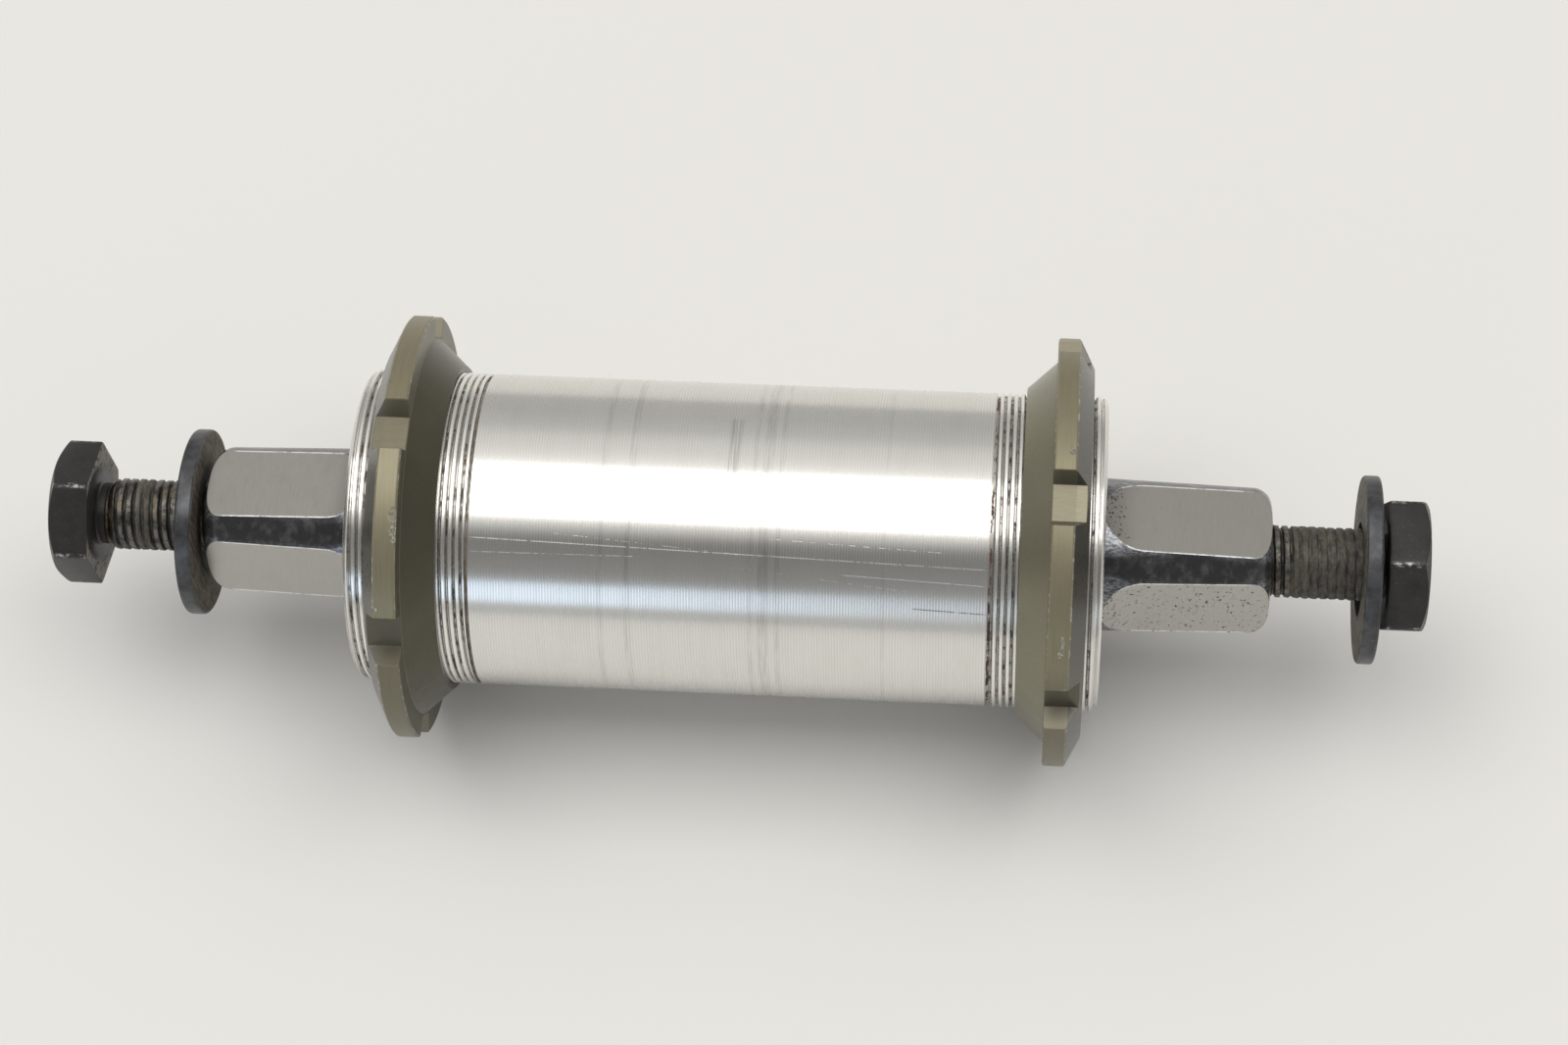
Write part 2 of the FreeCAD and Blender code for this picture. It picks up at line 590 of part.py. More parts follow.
def make_balls(side):
    """The bearing's balls, evenly spaced on their pitch circle."""
    count = int(value_of("sizes.ball_count"))
    spheres = []
    for number in range(count):
        sphere = doc.addObject("Part::Sphere", f"{side}_ball_{number + 1}")
        sphere.setExpression("Radius", "sizes.ball_radius")
        angle = f"({number} * 360 / sizes.ball_count)"
        sphere.setExpression(".Placement.Base.y", f"-{PITCH_RADIUS} * sin{angle}")
        sphere.setExpression(".Placement.Base.z", f"{PITCH_RADIUS} * cos{angle}")
        spheres.append(sphere)
    balls = doc.addObject("Part::Compound", f"{side}_balls")
    balls.Label = f"{side}_balls"
    balls.Links = spheres
    put_on_side(balls, side, BEARING_MIDDLE)
    return balls


def make_cage(side):
    """Ring with a round pocket for each ball."""
    body = new_body(f"{side}_ball_cage")
    inside = f"{PITCH_RADIUS} - sizes.cage_thickness / 2"
    outside = f"{PITCH_RADIUS} + sizes.cage_thickness / 2"
    ring = new_sketch(body, "XY_Plane", f"{side}_cage_ring_outline")
    draw_rectangle(ring, f"-{HALF_CAGE}", inside, HALF_CAGE, outside)
    turn_about_x(body, ring, "PartDesign::Revolution", f"{side}_cage_ring")
    sketch = new_sketch(body, "XY_Plane", f"{side}_pocket_outline")
    draw_circle(sketch, POCKET_RADIUS)
    pocket = body.newObject("PartDesign::Pocket", f"{side}_pocket")
    pocket.Profile = sketch
    pocket.Type = 0
    pocket.setExpression("Length", BEARING_RADIUS)
    pocket.Reversed = True
    repeat_about_x(body, pocket, f"{side}_pockets", "sizes.ball_count")
    put_on_side(body, side, BEARING_MIDDLE)
    return body


def make_seal(side, facing):
    """Rubber shield: a bead held in the outer race, a thin web and a lip beside the inner race."""
    body = new_body(f"{side}_{facing}_seal")
    lip = f"({INNER_LAND} + sizes.seal_gap)"
    bead = f"({SEAL_SEAT} - sizes.seat_clearance)"
    half = "sizes.seal_thickness / 2"
    step = "(sizes.seal_thickness / 2 - sizes.seal_web_thickness)"
    revolve_outline(
        body,
        f"{side}_{facing}_seal_ring",
        [
            (f"-{half}", lip),
            (half, lip),
            (half, f"{lip} + sizes.seal_bead"),
            (f"-{step}", f"{lip} + sizes.seal_bead"),
            (f"-{step}", f"{bead} - sizes.seal_bead"),
            (half, f"{bead} - sizes.seal_bead"),
            (half, bead),
            (f"-{half}", bead),
        ],
    )
    if facing == "outer":
        put_on_side(body, side, f"{BEARING_MIDDLE} + {SEAL_MIDDLE}")
    else:
        other_side = SIDES[1 - SIDES.index(side)]
        put_on_side(body, other_side, f"-({BEARING_MIDDLE} - {SEAL_MIDDLE})")
    return body


def make_clip(side):
    """Spring retaining clip in the axle's groove: a ring open at the top, with a lug each side."""
    body = new_body(f"{side}_circlip")
    bore = f"({CLIP_GROOVE_RADIUS} + sizes.clip_clearance)"
    outside = "sizes.journal_radius + sizes.clip_height"
    lug_foot = f"{bore} + sizes.clip_lug_root"
    lug_top = "sizes.journal_radius + sizes.clip_lug_height"
    half_width = "sizes.clip_lug_width / 2"
    plate = new_sketch(body, "YZ_Plane", f"{side}_clip_ring_outline")
    draw_circle(plate, outside, "0", "-(sizes.clip_offset)")
    draw_circle(plate, bore)
    pad_along_x(body, plate, f"{side}_clip_ring", "sizes.clip_thickness")
    lugs = new_sketch(body, "YZ_Plane", f"{side}_clip_lug_outline")
    draw_rectangle(lugs, f"-{half_width}", lug_foot, half_width, lug_top)
    pad_along_x(body, lugs, f"{side}_clip_lugs", "sizes.clip_thickness")
    gap = new_sketch(body, "YZ_Plane", f"{side}_clip_gap_outline")
    half_gap = "sizes.clip_gap / 2"
    draw_rectangle(gap, f"-{half_gap}", "0", half_gap, f"{lug_top} + sizes.clear_cut")
    cut_through(body, gap, f"{side}_clip_opening")
    eyes = new_sketch(body, "YZ_Plane", f"{side}_clip_eye_outline")
    eye_across = "(sizes.clip_lug_width + sizes.clip_gap) / 4"
    eye_up = f"{lug_top} - sizes.clip_eye_drop"
    for sign in ("", "-"):
        draw_circle(eyes, "sizes.clip_eye_radius", f"{sign}({eye_across})", eye_up)
    cut_through(body, eyes, f"{side}_clip_eyes")
    put_on_side(body, side, f"{BEARING_FACE} + sizes.clip_clearance")
    return body


pieces = [make_sleeve(), make_axle()]
for side_name in SIDES:
    pieces.append(make_lock_ring(side_name))
    pieces.append(make_inner_race(side_name))
    pieces.append(make_outer_race(side_name))
    pieces.append(make_balls(side_name))
    pieces.append(make_cage(side_name))
    pieces.append(make_seal(side_name, "outer"))
    pieces.append(make_seal(side_name, "inner"))
    pieces.append(make_clip(side_name))
    pieces.append(make_bolt(side_name))
    pieces.append(make_washer(side_name))

doc.recompute()

for item in doc.Objects:
    if "Invalid" in item.State or "Error" in item.State:
        raise RuntimeError(f"{item.Label} failed to compute: {item.State}")
for piece in pieces:
    if piece.Shape.isNull() or not piece.Shape.isValid() or not piece.Shape.Solids:
        raise RuntimeError(f"{piece.Label} has no sound solid")

os.makedirs("parts", exist_ok=True)
for piece in pieces:
    piece.Shape.exportStep(f"parts/{piece.Label}.step")
    box = piece.Shape.BoundBox
    print(
        f"{piece.Label:18s} solids {len(piece.Shape.Solids):2d}  volume {piece.Shape.Volume:9.1f}  "
        f"x {box.XMin:7.2f} to {box.XMax:7.2f}  z {box.ZMin:7.2f} to {box.ZMax:7.2f}"
    )
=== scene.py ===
import math

import bmesh
import bpy
import numpy as np
from mathutils import Matrix, Vector


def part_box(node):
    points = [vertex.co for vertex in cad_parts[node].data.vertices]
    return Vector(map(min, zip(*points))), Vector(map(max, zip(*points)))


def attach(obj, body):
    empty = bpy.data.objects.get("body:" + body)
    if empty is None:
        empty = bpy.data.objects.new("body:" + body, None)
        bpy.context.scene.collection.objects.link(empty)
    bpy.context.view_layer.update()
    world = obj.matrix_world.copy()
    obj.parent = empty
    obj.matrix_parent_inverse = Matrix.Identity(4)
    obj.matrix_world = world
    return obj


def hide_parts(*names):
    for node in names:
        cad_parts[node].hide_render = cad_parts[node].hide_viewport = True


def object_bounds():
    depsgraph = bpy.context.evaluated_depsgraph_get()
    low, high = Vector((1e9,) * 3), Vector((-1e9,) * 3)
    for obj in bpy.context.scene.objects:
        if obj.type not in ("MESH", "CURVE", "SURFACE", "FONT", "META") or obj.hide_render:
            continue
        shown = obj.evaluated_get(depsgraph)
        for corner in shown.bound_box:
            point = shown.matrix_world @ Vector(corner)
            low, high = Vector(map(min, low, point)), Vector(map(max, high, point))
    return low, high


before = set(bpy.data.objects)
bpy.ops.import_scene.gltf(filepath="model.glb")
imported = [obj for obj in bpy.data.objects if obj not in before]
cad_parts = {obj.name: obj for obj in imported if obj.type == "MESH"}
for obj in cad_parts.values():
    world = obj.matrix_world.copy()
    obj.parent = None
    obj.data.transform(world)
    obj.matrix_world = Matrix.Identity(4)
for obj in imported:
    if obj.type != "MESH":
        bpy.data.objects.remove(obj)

# Looks of a square taper bottom bracket. The axle lies along X and +Z is up.
# Shapes and patterns are worked out in millimetres and turned into metres when a mesh is made.

MM = 0.001
cad_low, cad_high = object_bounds()

# Places and sizes of the solids that several materials need, in millimetres and degrees
TUBE_RADIUS = 17.2
LEFT_THREAD_END, RIGHT_THREAD_START = -27.15, 28.55
RING_START = {"left": -30.55, "right": 31.75}
RING_CLOCK = {"left": 0.0, "right": 13.25}
HEAD_SEAT = {"left": -71.0, "right": 71.4}
HEAD_CLOCK = {"left": 6.2, "right": 26.0}
SIGN = {"left": -1.0, "right": 1.0}
AXLE_CLOCK = -8.5
NOSE_RADIUS = 2.1
# Along each bolt, from its head's seat, between these places old grease fills the thread
FILLED = {"left": (-6.2, -4.6), "right": (-10.4, -1.9)}


# Camera, floor and light

def set_camera():
    """The camera stands in front of the bracket and looks steeply down at it."""
    elevation = math.radians(62.5)
    pan, tilt, roll = -0.0707, 0.0049, 0.0414
    out = Vector((0, -math.cos(elevation), math.sin(elevation)))
    across = Vector((1, 0, 0))
    up = Vector((0, math.sin(elevation), math.cos(elevation)))
    place = 0.03478 * across + 0.41398 * out
    forward = across * math.sin(pan) - out * math.cos(pan)
    right = across * math.cos(pan) + out * math.sin(pan)
    forward, up = (
        forward * math.cos(tilt) + up * math.sin(tilt),
        up * math.cos(tilt) - forward * math.sin(tilt),
    )
    right, up = (
        right * math.cos(roll) + up * math.sin(roll),
        up * math.cos(roll) - right * math.sin(roll),
    )
    data = bpy.data.cameras.new("camera")
    data.sensor_fit = "HORIZONTAL"
    data.sensor_width = 36
    data.lens = 86.13
    data.clip_start = 0.01
    data.clip_end = 50
    camera = bpy.data.objects.new("camera", data)
    bpy.context.scene.collection.objects.link(camera)
    turn = Matrix((right, up, -forward)).transposed().to_4x4()
    camera.matrix_world = Matrix.Translation(place) @ turn
    bpy.context.scene.camera = camera


def add_lamp(name, steepness, distance, width, height, power, colour, across=0.0):
    """A soft area lamp aimed at the bracket. Steepness is from straight up towards +Y."""
    angle = math.radians(steepness)
    place = Vector((across, math.sin(angle) * distance, math.cos(angle) * distance))
    data = bpy.data.lights.new(name, "AREA")
    data.shape = "RECTANGLE"
    data.size = width
    data.size_y = height
    data.energy = power
    data.color = colour
    lamp = bpy.data.objects.new(name, data)
    bpy.context.scene.collection.objects.link(lamp)
    lamp.matrix_world = Matrix.Translation(place) @ Matrix.Rotation(-angle, 4, "X")


def set_world():
    """A pale studio. Its light changes from straight up towards the front and the back.

    Overhead it glows, and in front it is darker where whoever looks down stands.
    """
    world = bpy.data.worlds.new("studio")
    bpy.context.scene.world = world
    world.use_nodes = True
    tree = world.node_tree
    background = tree.nodes["Background"]
    direction = tree.nodes.new("ShaderNodeTexCoord").outputs["Generated"]
    parts = tree.nodes.new("ShaderNodeSeparateXYZ")
    tree.links.new(direction, parts.inputs[0])
    towards_back = tree.nodes.new("ShaderNodeMath")
    towards_back.operation = "ARCTAN2"
    tree.links.new(parts.outputs["Y"], towards_back.inputs[0])
    tree.links.new(parts.outputs["Z"], towards_back.inputs[1])
    share = tree.nodes.new("ShaderNodeMapRange")
    tree.links.new(towards_back.outputs[0], share.inputs["Value"])
    share.inputs["From Min"].default_value = -math.pi
    share.inputs["From Max"].default_value = math.pi
    ramp = tree.nodes.new("ShaderNodeValToRGB")
    tree.links.new(share.outputs["Result"], ramp.inputs["Fac"])
    stops = ramp.color_ramp.elements
    stops.remove(stops[1])
    ramp.color_ramp.interpolation = "EASE"
    plain = 0.50
    for number, (degrees, level) in enumerate((
        (-100, plain), (-80, 0.48), (-56, 0.27), (-32, 0.20), (-23, 0.60),
        (-15, 0.95), (26, 0.95), (42, 0.80), (60, 0.56), (74, 0.50), (100, plain),
    )):
        position = 0.5 + degrees / 360
        stop = stops[0] if number == 0 else stops.new(position)
        stop.position = position
        stop.color = (level, level * 0.99, level * 0.96, 1)

    # Towards both ends of the bracket the studio is plain
    sideways = tree.nodes.new("ShaderNodeMath")
    sideways.operation = "ABSOLUTE"
    tree.links.new(parts.outputs["X"], sideways.inputs[0])
    edge = tree.nodes.new("ShaderNodeMapRange")
    edge.interpolation_type = "SMOOTHSTEP"
    tree.links.new(sideways.outputs[0], edge.inputs["Value"])
    edge.inputs["From Min"].default_value = 0.35
    edge.inputs["From Max"].default_value = 0.65
    mix = tree.nodes.new("ShaderNodeMix")
    mix.data_type = "RGBA"
    tree.links.new(edge.outputs["Result"], mix.inputs["Factor"])
    tree.links.new(ramp.outputs["Color"], mix.inputs[6])
    mix.inputs[7].default_value = (plain, plain * 0.99, plain * 0.96, 1)
    tree.links.new(mix.outputs[2], background.inputs["Color"])


def add_floor():
    half = 4.0
    z = cad_low.z
    mesh = bpy.data.meshes.new("floor")
    corners = [(-half, -half, z), (half, -half, z), (half, half, z), (-half, half, z)]
    mesh.from_pydata(corners, [], [(0, 1, 2, 3)])
    floor = bpy.data.objects.new("floor", mesh)
    bpy.context.scene.collection.objects.link(floor)
    paint = bpy.data.materials.new("pale_floor")
    paint.use_nodes = True
    shader = paint.node_tree.nodes["Principled BSDF"]
    shader.inputs["Base Color"].default_value = (0.78, 0.77, 0.75, 1)
    shader.inputs["Roughness"].default_value = 0.8
    shader.inputs["Specular IOR Level"].default_value = 0.2
    mesh.materials.append(paint)


# Procedural materials

class Look:
    """One procedural material. Places are in millimetres in the bracket's own frame."""

    def __init__(self, name):
        self.material = bpy.data.materials.new(name)
        self.material.use_nodes = True
        self.tree = self.material.node_tree
        self.shader = self.tree.nodes["Principled BSDF"]
        coordinates = self.tree.nodes.new("ShaderNodeTexCoord").outputs["Object"]
        self.place = self.scaled(coordinates, (1000, 1000, 1000))
        self.x, self.y, self.z = self.split(self.place)
        square = self.math("ADD", self.math("POWER", self.y, 2), self.math("POWER", self.z, 2))
        self.radius = self.math("SQRT", square)
        self.angle = self.math("ARCTAN2", self.y, self.z)

    def put(self, value, socket):
        if isinstance(value, bpy.types.NodeSocket):
            self.tree.links.new(value, socket)
        elif isinstance(value, tuple) and socket.type == "RGBA":
            socket.default_value = (*value[:3], 1)
        else:
            socket.default_value = value

    def math(self, operation, a, b=0.0, c=0.0):
        node = self.tree.nodes.new("ShaderNodeMath")
        node.operation = operation
        for value, socket in zip((a, b, c), node.inputs):
            self.put(value, socket)
        return node.outputs["Value"]

    def scaled(self, vector, factors):
        node = self.tree.nodes.new("ShaderNodeVectorMath")
        node.operation = "MULTIPLY"
        self.put(vector, node.inputs[0])
        node.inputs[1].default_value = factors
        return node.outputs["Vector"]

    def split(self, vector):
        node = self.tree.nodes.new("ShaderNodeSeparateXYZ")
        self.put(vector, node.inputs[0])
        return node.outputs[0], node.outputs[1], node.outputs[2]

    def facing(self):
        """Angle of the surface's own direction about the X axis, from upright towards +Y."""
        coordinates = self.tree.nodes.new("ShaderNodeTexCoord")
        along, back, up = self.split(coordinates.outputs["Normal"])
        return self.math("ARCTAN2", back, up)

    def noise(self, per_mm, detail=2.0, roughness=0.5, offset=0.0):
        """Noise from 0 to 1. per_mm is how fine it is along x, y and z."""
        node = self.tree.nodes.new("ShaderNodeTexNoise")
        place = self.scaled(self.place, per_mm)
        if offset:
            shift = self.tree.nodes.new("ShaderNodeVectorMath")
            self.put(place, shift.inputs[0])
            shift.inputs[1].default_value = (offset, offset, offset)
            place = shift.outputs["Vector"]
        self.put(place, node.inputs["Vector"])
        node.inputs["Scale"].default_value = 1
        node.inputs["Detail"].default_value = detail
        node.inputs["Roughness"].default_value = roughness
        return node.outputs["Fac"]

    def step(self, value, low, high, start=0.0, end=1.0):
        """Goes smoothly from start to end while value goes from low to high."""
        node = self.tree.nodes.new("ShaderNodeMapRange")
        node.interpolation_type = "SMOOTHSTEP"
        self.put(value, node.inputs["Value"])
        node.inputs["From Min"].default_value = low
        node.inputs["From Max"].default_value = high
        node.inputs["To Min"].default_value = start
        node.inputs["To Max"].default_value = end
        return node.outputs["Result"]

    def within(self, value, low, high, edge=0.05):
        """1 while value lies between low and high, 0 outside."""
        rise = self.step(value, low - edge, low + edge)
        fall = self.step(value, high - edge, high + edge, 1.0, 0.0)
        return self.math("MULTIPLY", rise, fall)

    def mix(self, factor, a, b):
        node = self.tree.nodes.new("ShaderNodeMix")
        node.data_type = "RGBA"
        self.put(factor, node.inputs["Factor"])
        self.put(a, node.inputs[6])
        self.put(b, node.inputs[7])
        return node.outputs[2]

    def rounded_edges(self, radius_mm):
        """The surface's normal, rounded where two faces meet."""
        node = self.tree.nodes.new("ShaderNodeBevel")
        node.samples = 4
        node.inputs["Radius"].default_value = radius_mm * MM
        return node.outputs["Normal"]

    def bump(self, height, depth_mm, below=None):
        node = self.tree.nodes.new("ShaderNodeBump")
        self.put(height, node.inputs["Height"])
        node.inputs["Distance"].default_value = depth_mm * MM
        if below is not None:
            self.put(below, node.inputs["Normal"])
        return node.outputs["Normal"]

    def finish(self, colour, roughness, metallic=1.0, normal=None):
        self.put(colour, self.shader.inputs["Base Color"])
        self.put(roughness, self.shader.inputs["Roughness"])
        self.put(metallic, self.shader.inputs["Metallic"])
        if normal is not None:
            self.put(normal, self.shader.inputs["Normal"])
        return self.material


def brush_round_axis(look, amount):
    """Turning marks run round the X axis, so the gloss is wider along it."""
    tangent = look.tree.nodes.new("ShaderNodeTangent")
    tangent.direction_type = "RADIAL"
    tangent.axis = "X"
    look.tree.links.new(tangent.outputs["Tangent"], look.shader.inputs["Tangent"])
    look.shader.inputs["Anisotropic"].default_value = amount
    look.shader.inputs["Anisotropic Rotation"].default_value = 0.25


def scratch_on_tube(look, ends, angles, half_width):
    """1 on a long thin scratch round the tube. Ends are along x and angles in degrees."""
    slope = math.radians(angles[1] - angles[0]) / (ends[1] - ends[0])
    line = look.math("MULTIPLY_ADD", look.x, slope, math.radians(angles[0]) - slope * ends[0])
    away = look.math("ABSOLUTE", look.math("SUBTRACT", look.angle, line))
    away = look.math("MULTIPLY", away, TUBE_RADIUS)
    scratch = look.step(away, half_width * 0.4, half_width * 1.8, 1.0, 0.0)
    return look.math("MULTIPLY", scratch, look.within(look.x, ends[0], ends[1], 0.5))


def turned_aluminium():
    """Bright turned sleeve: fine tool lines, soiled threads, darker bands and scratches."""
    look = Look("turned_aluminium")
    wave = look.math("SINE", look.math("MULTIPLY", look.x, 2 * math.pi / 0.31))
    lines = look.math("MULTIPLY_ADD", wave, 0.5, 0.5)
    streaks = look.noise((6.0, 0.03, 0.03), 3.0, 0.6)
    patches = look.noise((0.35, 0.12, 0.12), 3.0, 0.6, 5.0)
    on_plain = look.within(look.x, -27.1, 28.5, 0.02)
    colour = look.mix(lines, (0.72, 0.705, 0.675), (0.80, 0.79, 0.765))
    colour = look.mix(look.step(streaks, 0.45, 0.85, 0.0, 0.35), colour, (0.68, 0.665, 0.63))
    colour = look.mix(look.step(patches, 0.4, 0.8, 0.0, 0.25), colour, (0.64, 0.62, 0.585))
    roughness = look.math("MULTIPLY_ADD", lines, -0.09, 0.24)
    roughness = look.math("MULTIPLY_ADD", streaks, 0.08, roughness)
    height = look.math("MULTIPLY_ADD", streaks, 0.6, look.math("MULTIPLY", lines, 0.8))
    height = look.math("MULTIPLY", height, on_plain)

    # Darker bands that something has rubbed round the tube
    worn = look.noise((3.0, 0.25, 0.25), 3.0, 0.6, 9.0)
    for place, half_width, strength in (
        (-12.9, 0.3, 0.30), (-9.95, 0.35, 0.35), (3.2, 0.25, 0.30), (4.6, 0.55, 0.40),
        (6.1, 0.25, 0.35), (17.4, 0.2, 0.2),
    ):
        band = look.within(look.x, place - half_width, place + half_width, 0.15)
        band = look.math("MULTIPLY", band, look.step(worn, 0.3, 0.65, 0.0, strength))
        colour = look.mix(band, colour, (0.42, 0.41, 0.40))

    # A short rubbed mark. Angles are from upright towards +Y.
    mark = look.math(
        "MULTIPLY",
        look.within(look.x, 0.0, 1.6, 0.1),
        look.within(look.angle, math.radians(-4), math.radians(21), 0.02),
    )
    rubbed = look.step(look.noise((9.0, 0.1, 0.1), 2.0), 0.4, 0.6, 0.0, 0.6)
    colour = look.mix(look.math("MULTIPLY", mark, rubbed), colour, (0.42, 0.41, 0.41))

    # Long light scratches, and a dark one near the right thread
    broken = look.noise((1.2, 1.2, 1.2), 4.0, 0.75, 3.0)
    for ends, angles, half_width, gaps in (
        ((-26.8, 28.2), (-30.6, -34.9), 0.045, 0.36), ((-26.8, -9.0), (-35.8, -35.2), 0.035, 0.40),
        ((13.0, 28.2), (-38.9, -40.9), 0.035, 0.32), ((-2.0, 20.0), (-36.5, -44.0), 0.02, 0.46),
        ((-18.0, 2.0), (-28.0, -33.0), 0.02, 0.46), ((5.0, 24.0), (-27.0, -29.5), 0.02, 0.46),
    ):
        scratch = scratch_on_tube(look, ends, angles, half_width)
        strength = 0.55 if half_width > 0.03 else 0.32
        scratch = look.math("MULTIPLY", scratch, look.step(broken, gaps, gaps + 0.12, 0.0, strength))
        colour = look.mix(scratch, colour, (0.97, 0.97, 0.97))
        roughness = look.math("MULTIPLY_ADD", scratch, 0.25, roughness)
        height = look.math("SUBTRACT", height, look.math("MULTIPLY", scratch, 2.5))
    dark_scratch = scratch_on_tube(look, (20.5, 28.3), (-50.3, -51.3), 0.05)
    dark_scratch = look.math("MULTIPLY", dark_scratch, look.step(broken, 0.38, 0.50, 0.0, 0.85))
    colour = look.mix(dark_scratch, colour, (0.13, 0.10, 0.09))

    # Dirt sits here and there in the threads and in the grooves that they run out in, and the roots of
    # all the threads are painted a darker grey all round
    left_threads = look.within(look.x, -39.9, LEFT_THREAD_END, 0.04)
    right_threads = look.within(look.x, RIGHT_THREAD_START, 39.9, 0.04)
    outside = look.step(look.radius, 16.3, 16.5)
    threads = look.math("MULTIPLY", look.math("ADD", left_threads, right_threads), outside)
    groove = look.math("MULTIPLY", threads, look.step(look.radius, 16.95, 17.15, 1.0, 0.0))
    speckle = look.noise((2.0, 0.55, 0.55), 4.0, 0.72, 21.0)
    dirt = look.math("MULTIPLY", groove, look.step(speckle, 0.50, 0.60))
    reddish = look.step(look.noise((0.8, 0.5, 0.5), 2.0, 0.5, 31.0), 0.48, 0.62)
    tint = look.mix(reddish, (0.060, 0.052, 0.044), (0.17, 0.095, 0.06))
    colour = look.mix(threads, colour, (0.84, 0.83, 0.80))
    colour = look.mix(look.math("MULTIPLY", groove, 0.75), colour, (0.34, 0.33, 0.305))
    colour = look.mix(dirt, colour, tint)
    left_run_out = look.math("MULTIPLY", look.within(look.x, -27.45, -27.1, 0.04), groove)
    right_run_out = look.math("MULTIPLY", look.within(look.x, 28.5, 28.85, 0.04), groove)
    left_run_out = look.math("MULTIPLY", left_run_out, look.step(speckle, 0.34, 0.54, 0.15, 0.8))
    right_run_out = look.math("MULTIPLY", right_run_out, look.step(speckle, 0.44, 0.54, 0.08, 1.0))
    colour = look.mix(left_run_out, colour, (0.20, 0.16, 0.12))
    colour = look.mix(right_run_out, colour, (0.105, 0.050, 0.040))
    dirt = look.math("MAXIMUM", dirt, look.math("MAXIMUM", left_run_out, right_run_out))
    roughness = look.math("MULTIPLY_ADD", dirt, 0.45, roughness)
    metallic = look.math("MULTIPLY_ADD", dirt, -0.8, 1.0)
    normal = look.bump(height, 0.004)
    brush_round_axis(look, 0.6)
    return look.finish(colour, roughness, metallic, normal)


def dent(look, place, angle, radius, half_length, half_width):
    """1 at a small knock in a surface at that place and angle, 0 away from it."""
    centre = (place, radius * math.sin(angle), radius * math.cos(angle))
    node = look.tree.nodes.new("ShaderNodeVectorMath")
    node.operation = "DISTANCE"
    factors = (1 / half_length, 1 / half_width, 1 / half_width)
    look.put(look.scaled(look.place, factors), node.inputs[0])
    node.inputs[1].default_value = tuple(a * b for a, b in zip(centre, factors))
    away = look.math("MULTIPLY_ADD", look.noise((2.5, 2.5, 2.5), 3.0, 0.6), 0.9, node.outputs["Value"])
    return look.step(away, 0.95, 1.45, 1.0, 0.0)


